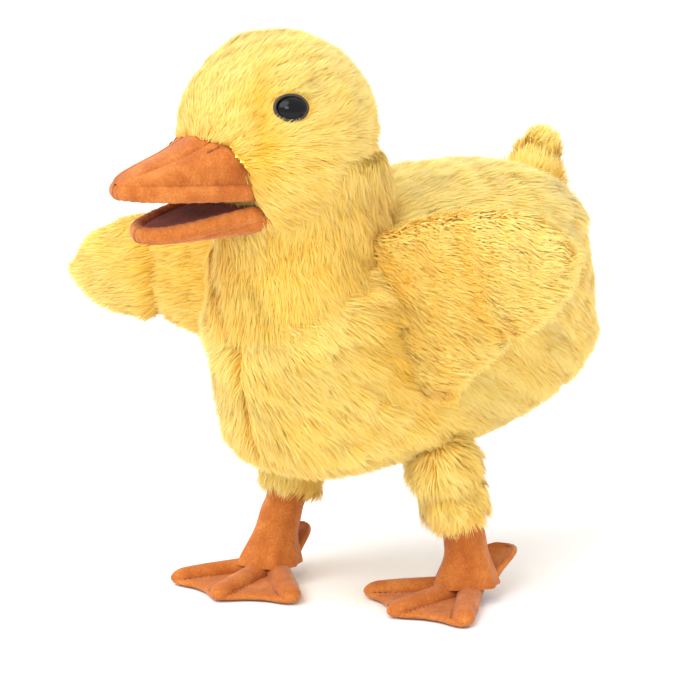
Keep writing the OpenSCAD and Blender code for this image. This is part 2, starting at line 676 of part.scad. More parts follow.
// A toe tube: a tapered tube from over the ankle to the toe tip, sunk halfway into the web
module toe(a, shrink) {
  rotate([0, 0, a]) translate([0, 0, 8]) rotate([94, 0, 0])
    cylinder(foot_len - 5 - shrink, r1 = 7.2 - shrink, r2 = 4.6 - shrink, $fn = 32);
}
module toes(shrink) {
  for (t = [-1:1]) toe(toe_angle * t * 0.98, shrink);
}
module above(z) { translate([-60, -90, z]) cube([120, 130, 60]); }
module foot_top(side) {
  color(orange) foot_frame(side) difference() {
    union() {
      foot_sheet(sheet_z, suede);
      intersection() { toes(0); above(sheet_z); }
      intersection() { translate([0, 0, ankle_z]) sphere(collar_r, $fn = 48); above(sheet_z); }
    }
    intersection() { toes(suede); above(sheet_z + suede); }
    translate([0, 0, ankle_z]) sphere(leg_r + move_gap, $fn = 48);
    above(ankle_z - 4);
  }
}
module foot_sole(side) { color("#C8703A") foot_frame(side) foot_sheet(0, suede); }
module toe_stuffing(side) {
  color(fluff) foot_frame(side) difference() {
    intersection() { toes(suede + seam_gap); above(sheet_z + suede + seam_gap); }
    translate([0, 0, ankle_z]) sphere(leg_r + move_gap + 1, $fn = 48);
    above(ankle_z - 5);
  }
}
module foot_top_left() { foot_top(1); }
module foot_top_right() { foot_top(-1); }
module foot_sole_left() { foot_sole(1); }
module foot_sole_right() { foot_sole(-1); }
module toe_stuffing_left() { toe_stuffing(1); }
module toe_stuffing_right() { toe_stuffing(-1); }
foot_top_left();
foot_top_right();
foot_sole_left();
foot_sole_right();
toe_stuffing_left();
toe_stuffing_right();

// ---------- tail ----------
tail_lean = -22;
module tail_frame() { translate(tail_at) rotate([tail_lean, 0, 0]) children(); }
tail_tip_r = tail_r - 4;
// Half outline of the tail: a round root, a straight taper and a round tip
function tail_profile(inset) = concat(arc(tail_r - inset, -50, 10, 6),
  [for (q = arc(tail_tip_r - inset, 14, 90, 6)) q + [0, tail_len]]);
module tail_skin() {
  outer = tail_profile(0);
  inner = tail_profile(plush);
  color(yellow) tail_frame() rotate_extrude($fn = 48)
    polygon(concat(outer, [for (i = [len(inner) - 1:-1:0]) inner[i]]));
}
module tail_stuffing() {
  core = tail_profile(plush + seam_gap);
  color(fluff) tail_frame() rotate_extrude($fn = 48) polygon(concat([[0, core[0][1]]], core));
}
tail_skin();
tail_stuffing();
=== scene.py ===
import math
import json
import bpy
import numpy as np
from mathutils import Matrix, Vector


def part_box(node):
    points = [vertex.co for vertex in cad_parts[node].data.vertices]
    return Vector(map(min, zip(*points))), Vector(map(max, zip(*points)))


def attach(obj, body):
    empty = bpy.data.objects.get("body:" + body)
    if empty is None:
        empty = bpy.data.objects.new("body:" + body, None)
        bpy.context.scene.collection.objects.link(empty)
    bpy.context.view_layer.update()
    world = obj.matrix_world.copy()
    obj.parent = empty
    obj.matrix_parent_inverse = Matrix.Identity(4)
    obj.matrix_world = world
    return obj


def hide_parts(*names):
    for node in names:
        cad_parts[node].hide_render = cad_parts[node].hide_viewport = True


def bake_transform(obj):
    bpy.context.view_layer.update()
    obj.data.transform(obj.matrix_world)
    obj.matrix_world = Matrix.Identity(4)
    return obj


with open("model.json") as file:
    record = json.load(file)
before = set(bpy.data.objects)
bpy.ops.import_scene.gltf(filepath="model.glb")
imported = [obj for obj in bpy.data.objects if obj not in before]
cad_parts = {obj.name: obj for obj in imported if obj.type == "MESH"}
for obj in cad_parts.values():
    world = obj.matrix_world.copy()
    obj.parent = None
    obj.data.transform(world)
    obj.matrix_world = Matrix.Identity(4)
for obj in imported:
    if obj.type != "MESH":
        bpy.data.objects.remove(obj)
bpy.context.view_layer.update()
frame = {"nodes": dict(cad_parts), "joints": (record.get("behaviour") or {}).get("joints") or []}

MM = 0.001
joint_of = {j["name"]: j for j in frame["joints"]}


def joint_at(name):
    """A joint's place in millimetres."""
    return np.array(joint_of[name]["pos_m"]) / MM


def circle(count):
    """Evenly spaced angles once round, without the repeated end."""
    return np.linspace(0, 2 * math.pi, count, endpoint=False)


def unit(v):
    """Vectors along the last axis, each divided by its length."""
    return v / (np.linalg.norm(v, axis=-1, keepdims=True) + 1e-12)


def place(name, data):
    """A new object with this data, in the scene."""
    made = bpy.data.objects.new(name, data)
    bpy.context.scene.collection.objects.link(made)
    return made


# ---------- Photographer's sweep, light and camera ----------
# The puppet stands on seamless white studio paper, under a broad soft light from above
# and in front, with white walls all round that fill the shadows.
def linear(hex_colour):
    """An sRGB hex colour as linear RGBA: c / 12.92 below 0.04045, else ((c + 0.055) / 1.055) ^ 2.4."""
    c = np.array([int(hex_colour[i:i + 2], 16) for i in (1, 3, 5)]) / 255
    c = np.where(c <= 0.04045, c / 12.92, ((c + 0.055) / 1.055) ** 2.4)
    return (*c.tolist(), 1.0)


def add_node(tree, kind, settings=None, inputs=None):
    """One shader node: settings are its properties, and inputs are values or sockets that feed it."""
    made = tree.nodes.new(kind)
    for key, value in (settings or {}).items():
        setattr(made, key, value)
    for key, value in (inputs or {}).items():
        if isinstance(value, bpy.types.NodeSocket):
            tree.links.new(value, made.inputs[key])
        else:
            made.inputs[key].default_value = value
    return made


def new_material(name):
    """An empty node material and its tree."""
    made = bpy.data.materials.new(name)
    made.use_nodes = True
    made.node_tree.nodes.clear()
    return made, made.node_tree


def on_object(tree, kind, settings=None, **inputs):
    """A texture node on Object coordinates."""
    where = add_node(tree, "ShaderNodeTexCoord")
    return add_node(tree, kind, settings, {"Vector": where.outputs["Object"], **inputs})


def bump(tree, strength, distance, height):
    """A bump in metres of distance; gives its normal."""
    made = add_node(tree, "ShaderNodeBump", None, {"Strength": strength, "Distance": distance, "Height": height})
    return made.outputs[0]


def surface(tree, inputs):
    """A Principled shader with these inputs, as the material's surface."""
    shade = add_node(tree, "ShaderNodeBsdfPrincipled", None, inputs)
    add_node(tree, "ShaderNodeOutputMaterial", None, {"Surface": shade.outputs[0]})


def colour_ramp(tree, value, stops):
    """The colour of a value. Stops are (position, hex colour) pairs, from low to high."""
    made = add_node(tree, "ShaderNodeValToRGB", None, {0: value})
    ramp = made.color_ramp
    while len(ramp.elements) < len(stops):
        ramp.elements.new(0.5)
    for element, (position, colour) in zip(ramp.elements, stops):
        element.position = position
        element.color = linear(colour)
    return made.outputs[0]


# Matt uncoated paper: no gloss, an even white.
paper, tree = new_material("uncoated_white_paper")
surface(tree, {"Base Color": linear("#FAFAFA"), "Roughness": 0.95, "Specular IOR Level": 0.1})

floor_half = 12.0  # metres, so that its edge is never in view
floor_mesh = bpy.data.meshes.new("studio_paper")
floor_mesh.from_pydata([(-floor_half, -floor_half, 0), (floor_half, -floor_half, 0),
                        (floor_half, floor_half, 0), (-floor_half, floor_half, 0)], [], [(0, 1, 2, 3)])
floor = place("studio_paper", floor_mesh)
floor_mesh.materials.append(paper)

world = bpy.data.worlds.new("white_studio")
bpy.context.scene.world = world
world.use_nodes = True
world.node_tree.nodes["Background"].inputs["Color"].default_value = (1, 1, 1, 1)
world.node_tree.nodes["Background"].inputs["Strength"].default_value = 1.2

sky_light = bpy.data.lights.new("overhead_softbox", "SUN")
sky_light.energy = 1.9
sky_light.angle = math.radians(50)
sky = place("overhead_softbox", sky_light)
sky.rotation_euler = (math.radians(34), math.radians(-8), math.radians(6))

# A small window-like light that gives the eye its one clear highlight
window_light = bpy.data.lights.new("eye_light", "AREA")
window_light.energy = 5.0
window_light.size = 0.45
window = place("eye_light", window_light)
window.location = (0.75, -1.15, 1.05)
window.rotation_euler = (math.radians(53), 0, math.radians(33))

view_azimuth = math.radians(45)
view_elevation = math.radians(12)
view_distance = 1.3
view_target = np.array([0.028, -0.036, 0.124])
back = np.array([math.sin(view_azimuth) * math.cos(view_elevation),
                 -math.cos(view_azimuth) * math.cos(view_elevation), math.sin(view_elevation)])
camera_data = bpy.data.cameras.new("studio_camera")
camera_data.sensor_width = 36
camera_data.lens = 161.7
camera_data.clip_end = 60
camera = place("studio_camera", camera_data)
camera.location = view_target + view_distance * back
camera.rotation_euler = (math.pi / 2 - view_elevation, 0, view_azimuth)
bpy.context.scene.camera = camera
bpy.context.scene.view_settings.view_transform = "Standard"
bpy.context.scene.view_settings.look = "None"


# ---------- Body: a stuffed plush bag with a long, soft, combed pile ----------
# Two side panels meet along the back, and a breast and belly panel runs between them below.
# The cloth is knitted backing with a 12 mm acrylic pile; it is sewn inside out and stuffed.
def signed_power(s, p):
    """The sign of s times |s| to the power p."""
    return np.sign(s) * np.abs(s) ** p


def link_mesh(name, points, faces, material):
    """A mesh object from a (n, 3) array in metres and a (m, 3) or (m, 4) array of faces."""
    mesh = bpy.data.meshes.new(name)
    corners = faces.shape[1]
    mesh.vertices.add(len(points))
    mesh.vertices.foreach_set("co", np.ascontiguousarray(points, dtype=np.float32).ravel())
    mesh.loops.add(faces.size)
    mesh.loops.foreach_set("vertex_index", np.ascontiguousarray(faces, dtype=np.int32).ravel())
    mesh.polygons.add(len(faces))
    mesh.polygons.foreach_set("loop_start", np.arange(0, faces.size, corners, dtype=np.int32))
    mesh.update(calc_edges=True)
    mesh.polygons.foreach_set("use_smooth", np.ones(len(faces), dtype=bool))
    mesh.materials.append(material)
    return place(name, mesh)


def grid_faces(rows, cols, around):
    """Quads between neighbouring points of a rows x cols grid; around closes it across the columns."""
    i, j = np.meshgrid(np.arange(rows - 1), np.arange(cols if around else cols - 1), indexing="ij")
    k = (j + 1) % cols
    return np.stack([i * cols + j, i * cols + k, (i + 1) * cols + k, (i + 1) * cols + j], -1).reshape(-1, 4)


def sewn_surface(name, grid, material, around=True, outward=True):
    """A smooth surface through a (rows, cols, 3) grid. outward turns its faces away from its middle."""
    rows, cols = grid.shape[:2]
    faces = grid_faces(rows, cols, around)
    flat = grid.reshape(-1, 3)
    a, b, c, d = (flat[faces[:, k]] for k in range(4))
    normal = np.cross(c - a, d - b)
    middle = (a + b + c + d) / 4
    if (np.sum(normal * (middle - flat.mean(0))) > 0) != outward:
        faces = faces[:, ::-1]
    return link_mesh(name, flat, faces, material)


def grid_normals(grid, around):
    """Unit normals of a grid: the cross product of its central differences, turned outwards."""
    if around:
        wide = np.concatenate([grid[:, -1:], grid, grid[:, :1]], 1)
        across = wide[:, 2:] - wide[:, :-2]
    else:
        across = np.gradient(grid, axis=1)
    along = np.gradient(grid, axis=0)
    normal = np.cross(along, across)
    normal = unit(normal)
    if np.sum(normal * (grid - grid.reshape(-1, 3).mean(0))) < 0:
        normal = -normal
    return normal


def pile(name, grid, comb, material, seed, *, per_mm2, length, width, lift, tone,
         around=True, keep=None, long_at=None, flow=0.35):
    """Plush pile as flat tapered strands. Roots lie at random on the grid, evenly by area. Each
    strand rises with the surface normal, bends over along the comb direction, which a slow wave
    field of tufts disturbs, and ends in a point. Its map runs from root to tip in v, and its tone
    is u. Lengths are in millimetres. keep(points, normals) says which strands are cut away."""
    rng = np.random.default_rng(seed)
    normals = grid_normals(grid, around)
    if around:
        grid = np.concatenate([grid, grid[:, :1]], 1)
        normals = np.concatenate([normals, normals[:, :1]], 1)
    a, b, c, d = grid[:-1, :-1], grid[1:, :-1], grid[1:, 1:], grid[:-1, 1:]
    area = 0.5 * np.linalg.norm(np.cross(c - a, d - b), axis=-1)
    total = np.cumsum(area.ravel())
    count = int(total[-1] / MM**2 * per_mm2)
    cell = np.minimum(np.searchsorted(total, rng.random(count) * total[-1]), total.size - 1)
    row, col = np.unravel_index(cell, area.shape)
    p, q = rng.random((2, count, 1))

    def at(values):
        return ((values[row, col] * (1 - q) + values[row, col + 1] * q) * (1 - p)
                + (values[row + 1, col] * (1 - q) + values[row + 1, col + 1] * q) * p)

    root, n = at(grid), at(normals)
    n = unit(n)
    if keep is not None:
        chosen = keep(root, n)
        root, n = root[chosen], n[chosen]
        count = len(root)
    wave_count, wave_mm, wave_push = 10, [26, 11, 5], [0.55, 0.55, 0.5]
    waves = rng.normal(size=(3, wave_count, 3)) * (2 * math.pi / (np.array(wave_mm) * MM))[:, None, None] * 0.5
    push = rng.normal(size=(3, wave_count, 3)) * np.array(wave_push)[:, None, None] / math.sqrt(wave_count)
    tuft = sum(np.sin(root @ w.T + rng.random(wave_count) * 6.3) @ s for w, s in zip(waves, push))
    direction = comb(root, n)
    direction = direction - np.sum(direction * n, 1, keepdims=True) * n
    direction = unit(direction)
    direction = direction + flow * 1.3 * tuft + rng.normal(size=(count, 3)) * 0.13
    direction -= np.sum(direction * n, 1, keepdims=True) * n
    direction = unit(direction)
    up = np.clip(lift + 0.8 * flow * tuft[:, :1] + rng.normal(size=(count, 1)) * 0.09, 0.18, 1.1)
    first = n * up + direction * (1 - 0.45 * up)
    first = unit(first)
    last = n * up * 0.35 + direction
    last = unit(last)
    reach = length * MM * (0.72 + 0.42 * rng.random((count, 1)))
    if long_at is not None:
        reach = reach * long_at(root)[:, None]
    half = width * MM / 2 * (0.7 + 0.6 * rng.random((count, 1)))
    side = np.cross(direction, n) + n * rng.normal(size=(count, 1)) * 0.25
    side = unit(side)
    start = root - n * 0.6 * MM
    middle = root + first * reach * 0.5
    tip = middle + last * reach * 0.5
    points = np.stack([start - side * half, start + side * half,
                       middle - side * half * 0.72, middle + side * half * 0.72, tip], 1).reshape(-1, 3)
    five = np.arange(count)[:, None, None] * 5
    faces = (five + np.array([[0, 1, 3], [0, 3, 2], [2, 3, 4]])).reshape(-1, 3)
    made = link_mesh(name, points, faces, material)
    # shade_of is the tone function's painted light and shade, varied by the tufts and at random.
    shade_of = np.clip(tone(root, n) + 0.10 * tuft[:, 0] + rng.normal(size=count) * 0.15, 0.01, 0.97)
    strip = 1 / 64
    u = np.stack([shade_of, shade_of + strip, shade_of, shade_of + strip, shade_of + strip / 2], 1)
    v = np.tile(np.array([0.02, 0.02, 0.5, 0.5, 0.98]), (count, 1))
    uv = np.stack([u.ravel(), v.ravel()], 1)[faces.ravel()]
    made.data.uv_layers.new(name="OFBake").data.foreach_set("uv", uv.astype(np.float32).ravel())
    soft = n + 0.10 * rng.normal(size=(count, 3)) + 0.22 * tuft
    lean = np.tile([0.0, 0.0, 0.1, 0.1, 0.25], count)[:, None]
    soft = np.repeat(soft, 5, 0) + lean * np.repeat(direction, 5, 0)
    soft = unit(soft)
    made.data.normals_split_custom_set_from_vertices(soft.tolist())
    return made


# Acrylic plush pile: fine matt strands that let some light through, deep gold at the root and
# pale cream at the tip; the deeper gold at the root is painted shade deep in the pile. Strands are
# drawn 0.5 to 0.6 mm wide, as wide as they need to be to show.
plush, tree = new_material("acrylic_plush_pile")
own_map = add_node(tree, "ShaderNodeUVMap", {"uv_map": "OFBake"})
parts = add_node(tree, "ShaderNodeSeparateXYZ", None, {0: own_map.outputs[0]})
golden = colour_ramp(tree, parts.outputs["Y"], [(0.0, "#F5B32B"), (0.4, "#FBCB3E"), (1.0, "#FFDF5E")])
cream = colour_ramp(tree, parts.outputs["Y"], [(0.0, "#FACB4C"), (0.4, "#FFE67C"), (1.0, "#FFF6B4")])
# The tone in u picks between the golden and the cream ramp; it carries the painted light and shade of the tone
# functions, with some tone that differs at random.
both = add_node(tree, "ShaderNodeMix", {"data_type": "RGBA"}, {0: parts.outputs["X"], 6: golden, 7: cream})
strand = add_node(tree, "ShaderNodeBsdfPrincipled", None, {
    "Base Color": both.outputs[2], "Roughness": 0.72, "Specular IOR Level": 0.25,
    "Sheen Weight": 0.25, "Sheen Roughness": 0.5})
through = add_node(tree, "ShaderNodeBsdfTranslucent", None, {"Color": both.outputs[2]})
mixed = add_node(tree, "ShaderNodeMixShader", None, {0: 0.38, 1: strand.outputs[0], 2: through.outputs[0]})
add_node(tree, "ShaderNodeOutputMaterial", None, {"Surface": mixed.outputs[0]})

# Knitted backing under the pile: the same dye, closed and dull, with a 1.5 mm mottle of pile roots.
backing, tree = new_material("knitted_plush_backing")
mottle = on_object(tree, "ShaderNodeTexNoise", Scale=660.0, Detail=4.0).outputs[0]
surface(tree, {"Base Color": colour_ramp(tree, mottle, [(0.3, "#FBC142"), (0.5, "#FFD45A"), (0.72, "#FFE27C")]),
               "Roughness": 0.9, "Specular IOR Level": 0.15, "Normal": bump(tree, 0.6, 0.8 * MM, mottle)})

body_len, body_w, back_rise, belly_drop = 198, 114, 51, 60
body_y, body_z, body_tilt = 27, 128, math.radians(12)
belly_lift, lift_y, lift_reach = 7.0, -62, 36
neck_at = joint_at("head_turn")
neck_ball_r = 31.0
neck_hole, vent_l, vent_w, vent_p = 25, 34, 29, 27
neck_p = (neck_at[1] - body_y) * math.cos(body_tilt) + (neck_at[2] - body_z) * math.sin(body_tilt)


def body_point(t, v, inset):
    """A point of the body's skin in millimetres. t runs from -1 at the neck hole over 0 at the widest
    line to 1 at the hand opening, and v is the angle round. In plan the ring slides from the hole's
    circle to a squared oval, and the height follows |height|^m + |reach|^m = 1. The front of the belly
    is drawn up a little by its seam."""
    a, b = body_w / 2 - inset, body_len / 2 - inset
    wide = 1 + 0.06 * np.sin(v)
    edge = [a * wide * signed_power(np.cos(v), 0.87), b * signed_power(np.sin(v), 0.87)]
    hole = [np.where(t < 0, neck_hole, vent_w) * np.cos(v),
            np.where(t < 0, neck_p + neck_hole * np.sin(v), vent_p + vent_l * np.sin(v))]
    w = np.cos(math.pi / 2 * np.abs(t))
    x, y = hole[0] + (edge[0] - hole[0]) * w, hole[1] + (edge[1] - hole[1]) * w
    reach = np.minimum(1, (np.abs(x / (a * wide)) ** 2.6 + np.abs(y / b) ** 2.6) ** (1 / 2.6))
    m = np.where(t < 0, 2.4, 4.2)
    h = np.where(t < 0, back_rise - inset, inset - belly_drop)
    z = h * np.maximum(0, 1 - reach**m) ** (1 / m)
    z = z + np.where(t > 0, belly_lift, 0) * np.exp(-(((y - lift_y) / lift_reach) ** 2)) * np.abs(t) ** 0.5
    p = np.stack([x, body_y + y * math.cos(body_tilt) - z * math.sin(body_tilt),
                  body_z + y * math.sin(body_tilt) + z * math.cos(body_tilt)], -1)
    gap = p - neck_at
    far = np.linalg.norm(gap, axis=-1, keepdims=True)
    ball = neck_ball_r + inset
    return np.where(far < ball, neck_at + gap * ball / far, p)


def body_grid(v0, v1, cols, inset, rows=64, closed=False):
    """A grid of body points between two angles; a closed grid leaves out its repeated last column."""
    angles = np.radians(np.linspace(v0, v1, cols, endpoint=not closed))
    t, v = np.meshgrid(np.linspace(-1.0, 1.0, rows), angles, indexing="ij")
    return body_point(t, v, inset) * MM


def body_comb(p, n):
    """The pile lies back and down on the breast and flanks, and towards the tail on the back."""
    out = np.sign(p[:, :1]) * np.maximum(0, -n[:, 1:2]) * 0.35
    return np.concatenate([out, np.full_like(out, 0.8), np.full_like(out, -0.6)], 1)


def body_painted_shade_tone(p, n):
    """Painted light and shade: paler where the pile faces up, on the back and the breast, deeper gold where it faces
    down under the belly, and painted shade in the folds by the wings and round the neck.
    """
    tone = 0.62 + 0.32 * np.maximum(0, n[:, 2]) - 0.10 * np.maximum(0, -n[:, 2])
    # Painted shade in the fold by each wing's root.
    fold = np.exp(-((np.abs(p[:, 0]) / MM - 50) ** 2 / 200 + (p[:, 1] / MM + 22) ** 2 / 500
                    + (p[:, 2] / MM - 132) ** 2 / 1200))
    # Painted shade in a ring round the neck, where the collar meets the body.
    collar = np.exp(-((np.linalg.norm(p / MM - neck_at, axis=1) - 34) / 9) ** 2)
    return tone - 0.5 * fold - 0.3 * collar


skin_inset, sleeve_inset = 3.0, 12.5
body_skin = sewn_surface("body_skin", body_grid(0, 360, 96, skin_inset, closed=True), backing)
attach(body_skin, "body")
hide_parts("side_panel_left", "side_panel_right", "breast_belly_panel", "body_stuffing",
            "shoulder_roll_left", "shoulder_roll_right")
for name, v0, v1, seed in (("body_pile_left", -48, 24, 11), ("body_pile_rear_left", 24, 90, 12),
                           ("body_pile_rear_right", 90, 156, 13), ("body_pile_right", 156, 228, 14),
                           ("breast_belly_pile", 228, 312, 15)):
    made = pile(name, body_grid(v0, v1, 30, skin_inset, rows=72), body_comb, plush, seed, around=False,
                per_mm2=3.8, length=12.5, width=0.55, lift=0.44, tone=body_painted_shade_tone, flow=0.2)
    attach(made, "body")

# ---------- Hand sleeve, hem and care label ----------
# A thin woven cotton sleeve lines the hand space; it is turned out at the opening under the rump
# and hemmed in a roll. A plain satin label is caught in the hem.
thread_pitch = 0.9  # a real thread is about 0.4 mm; drawn coarser so that the weave shows
cotton, tree = new_material("woven_cotton_lining")
bands_per_metre = 0.314 / (thread_pitch * MM)
warp, weft = (on_object(tree, "ShaderNodeTexWave", {"bands_direction": way}, Scale=bands_per_metre,
                        Distortion=0.4).outputs["Fac"] for way in "XY")
weave = add_node(tree, "ShaderNodeMath", {"operation": "ADD"}, {0: warp, 1: weft}).outputs[0]
surface(tree, {"Base Color": colour_ramp(tree, weave, [(0.3, "#D3AC62"), (0.9, "#EBCB8B")]),
               "Roughness": 0.85, "Normal": bump(tree, 0.5, 0.3 * MM, weave)})

sleeve = sewn_surface("hand_sleeve", body_grid(0, 360, 64, sleeve_inset, rows=40, closed=True), cotton, outward=False)
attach(sleeve, "body")
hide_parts("hand_sleeve_lining")


def tube_grid(path, radius, around_path, sides=14, squash=1.0, up=(0, 0, 1)):
    """A tube round a path: at each point a circle of the given radius across the path's direction.
    A closed path takes its direction across its ends."""
    path = np.asarray(path, float)
    ahead = (np.roll(path, -1, 0) - np.roll(path, 1, 0)) if around_path else np.gradient(path, axis=0)
    ahead = unit(ahead)
    side = np.cross(ahead, np.asarray(up, float))
    side = unit(side)
    rise = np.cross(side, ahead)
    turn = circle(sides)
    radius = np.broadcast_to(np.asarray(radius, float), (len(path),))[:, None, None]
    return path[:, None] + radius * (np.cos(turn)[None, :, None] * side[:, None]
                                     + squash * np.sin(turn)[None, :, None] * rise[:, None])


hem_down = np.array([0, math.sin(body_tilt), -math.cos(body_tilt)])
hem_r, hem_drop = 2.3, 6.4
hem_path = (body_point(np.ones(72), circle(72), skin_inset) + hem_down * hem_drop) * MM
hem_grid = tube_grid(hem_path, hem_r * MM, True)
hem = sewn_surface("opening_hem_roll", np.concatenate([hem_grid, hem_grid[:1]]), cotton)
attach(hem, "body")
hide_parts("opening_hem")

# Polyester satin ribbon: smooth, slightly glossy, with fine ribs across.
satin, tree = new_material("polyester_satin_ribbon")
ribs = on_object(tree, "ShaderNodeTexWave", {"bands_direction": "Z"}, Scale=420.0).outputs["Fac"]
surface(tree, {"Base Color": linear("#F1EFE8"), "Roughness": 0.38, "Normal": bump(tree, 0.3, 0.2 * MM, ribs)})
low, high = (np.array(c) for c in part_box("care_label"))
x, z = np.meshgrid(np.linspace(0, 1, 9), np.linspace(0, 1, 13), indexing="ij")
label_grid = np.stack([low[0] + (high[0] - low[0]) * x, low[1] + (high[1] - low[1]) * x,
                       low[2] + (high[2] - low[2]) * z], -1)
label_grid[..., 1] += 0.0016 * np.sin(z * 4.5) * (1 - z)
label = sewn_surface("care_label_ribbon", label_grid, satin, around=False)
label.modifiers.new("ribbon", "SOLIDIFY").thickness = 0.0005
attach(label, "body")
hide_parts("care_label")

# ---------- Neck: a short plush collar that turns in the body and carries the head ----------
# The collar is a ring of the same plush between the neck and the head. The bib is the ring below it,
# which spreads over the breast.
neck_ring_r, neck_forward, neck_full = 33.0, 12, 4.0


def down_comb(p, n):
    """Straight down."""
    return np.tile(np.array([0.0, 0.15, -1.0]), (len(p), 1))


def collar_grid(low, high, rows):
    """A ring of radius 33 round the neck, 4 mm fuller in front. Above the neck ball it moves forward with
    the head by 12 s^1.5, and below it spreads by up to 3 mm over the breast."""
    h, turn = np.meshgrid(np.linspace(low, high, rows), circle(72), indexing="ij")
    s = np.clip((h + 14) / 40, 0, 1)
    r = (neck_ring_r + 3.5 * s + 3.0 * np.clip((-14 - h) / 30, 0, 1)
         + neck_full * np.maximum(0, -np.sin(turn)) * (1 - s))
    ring = np.stack([r * np.cos(turn) + 2.0 * s, r * np.sin(turn) - neck_forward * s**1.5, h], -1)
    return (neck_at + ring) * MM


def neck_painted_shade_tone(p, n):
    """Painted shade: paler higher up towards the head and deeper gold lower down, in the fold over the breast."""
    return 0.46 + 0.22 * np.clip((p[:, 2] / MM - neck_at[2]) / 26, -0.4, 1)


for piece, low, high, start, end, bodies in (
        ("collar", -15, 26, -6.0, 20.0, ("neck", "head")), ("bib", -46, -11, -40.0, -15.0, ("body", "neck"))):
    neck_grid = collar_grid(low, high, 24)
    neck_skin = sewn_surface("neck_" + piece, neck_grid, backing)
    neck_pile = pile(f"neck_{piece}_pile", neck_grid, down_comb, plush, 21 + len(piece), per_mm2=3.8,
                     length=13, width=0.55, lift=0.4, flow=0.22, tone=neck_painted_shade_tone)
    for made in (neck_skin, neck_pile):
        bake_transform(made)
    if piece == "collar":
        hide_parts("neck_skin", "neck_lining")

# ---------- Head: a round plush ball of two side panels and a strip over the crown ----------
# The cloth is sewn to the root of the beak. Its skin and pile are made in three parts, the back of the head,
# the brow and the cheeks, and only the back is attached to the head.
hinge = np.array(joint_of["upper_beak_lift"]["pos_m"])
across = np.array(joint_of["upper_beak_lift"]["axis"])
ahead = np.array([across[1], -across[0], 0.0])
head_r = 42.5


def from_head(p):
    """Points (across, forward of the hinge, above the mouth) in metres, put into the puppet's frame."""
    return hinge + p[..., :1] * across + p[..., 1:2] * ahead + p[..., 2:3] * np.array([0, 0, 1.0])


def into_head(p):
    """The inverse of from_head: across, forward of the hinge and above the mouth."""
    d = p - hinge
    return np.stack([d @ across, d @ ahead, d[..., 2]], -1)


head_centre = np.array([0, -19.0, 24.0])
cheek_full, chin_full, brow_full, socket_deep = 4.5, 7.5, 2.6, 3.4


def head_skin_point(azimuth, elevation, inset):
    """The head's ball with smooth bumps: full cheeks behind the mouth, a chin under the beak and a round
    forehead, and a hollow ahead of each eye."""
    level = np.cos(elevation)
    d = np.stack([np.sin(azimuth) * level, np.cos(azimuth) * level, np.sin(elevation)], -1)
    cheek = np.exp(-((np.abs(azimuth) - 1.05) ** 2 / 0.30 + (elevation + 0.50) ** 2 / 0.16))
    chin = np.exp(-(azimuth**2 / 0.9 + (elevation + 0.95) ** 2 / 0.10))
    forehead = np.exp(-(azimuth**2 / 0.22 + (elevation - 0.42) ** 2 / 0.16))
    socket = np.exp(-((np.abs(azimuth) - 0.74) ** 2 / 0.03 + (elevation - 0.22) ** 2 / 0.14))
    r = head_r - inset + cheek_full * cheek + chin_full * chin + brow_full * forehead - socket_deep * socket
    return head_centre + r[..., None] * d


def head_grid(inset, rows=64, cols=120):
    """Rows run from below the chin to the crown and columns round the head from the back."""
    e, a = np.meshgrid(np.linspace(-0.5 * math.pi + 0.02, 0.5 * math.pi - 0.02, rows),
                       np.linspace(-math.pi, math.pi, cols, endpoint=False), indexing="ij")
    return from_head(head_skin_point(a, e, inset) * MM)


beak_len, beak_w, tip_w, beak_h = 62.0, 52.0, 36.0, 25.0
jaw_len, jaw_h, rim_h = 53.0, 15.0, 5.0
brow_s = 22.0
upper_lift, jaw_drop = math.radians(3), math.radians(10)


def half_width(s, length):
    """Half the beak's width at s ahead of the hinge: an even taper times a round, spread end."""
    taper = beak_w / 2 + (tip_w / 2 - beak_w / 2) * np.minimum(1, s / (length * 0.8))
    return taper * np.sqrt(np.maximum(0, 1 - np.maximum(0, s / length) ** 7))


def beak_opening(p, margin):
    """True for points on the head that lie behind the beak's root, grown by a margin in millimetres."""
    h = into_head(p) / MM
    top = beak_h + 1.0 + margin - 0.05 * np.abs(h[:, 0]) - np.maximum(0, np.abs(h[:, 0]) - 17) * 1.3
    low = -(jaw_h - 0.5 + margin) - 0.14 * h[:, 1] + np.maximum(0, np.abs(h[:, 0]) - 16) * 0.55
    return (h[:, 1] > 0) & (np.abs(h[:, 0]) < beak_w / 2 + 0.5 + margin) & (h[:, 2] < top) & (h[:, 2] > low)


eye_middles = [np.mean(np.array(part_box(n)), 0) for n in ("eye_left", "eye_right")]
eye_w, eye_h = 14.0, 11.0


def eye_axes(middle):
    """An eye's own directions: out of the head, level along its long way, and up along its short way."""
    out = middle - from_head(head_centre * MM)
    out = unit(out)
    level = np.cross(np.array([0, 0, 1.0]), out)
    level = unit(level)
    return out, level, np.cross(out, level)


def eye_reach(p):
    """Distance from the nearer eye, as a share of an oval 1.5 mm larger than the eye that lies a little
    ahead of it and below, where the pile would lean over the eye: 1 on its edge."""
    shares = []
    for middle in eye_middles:
        out, level, up = eye_axes(middle)
        d = (p - middle) / MM
        along, rise = d @ level * np.sign(out[0]) + 1.4, d @ up + 0.9
        shares.append(np.sqrt((along / (eye_w / 2 + 1.6)) ** 2 + (rise / (eye_h / 2 + 1.5)) ** 2
                              + (np.minimum(0, d @ out + 12) / 4) ** 2))
    return np.min(shares, 0)


def head_comb(p, n):
    """Away from a point inside the front of the face, and down below the eyes, so that the pile fans out
    from the beak and hangs over the cheeks."""
    away = p - from_head(np.array([[0.0, 24.0, 2.0]]) * MM)
    fall = 0.85 * np.clip((36 - into_head(p)[:, 2] / MM) / 30, 0, 1)
    away[:, 2] -= fall * np.linalg.norm(away, axis=1)
    return away


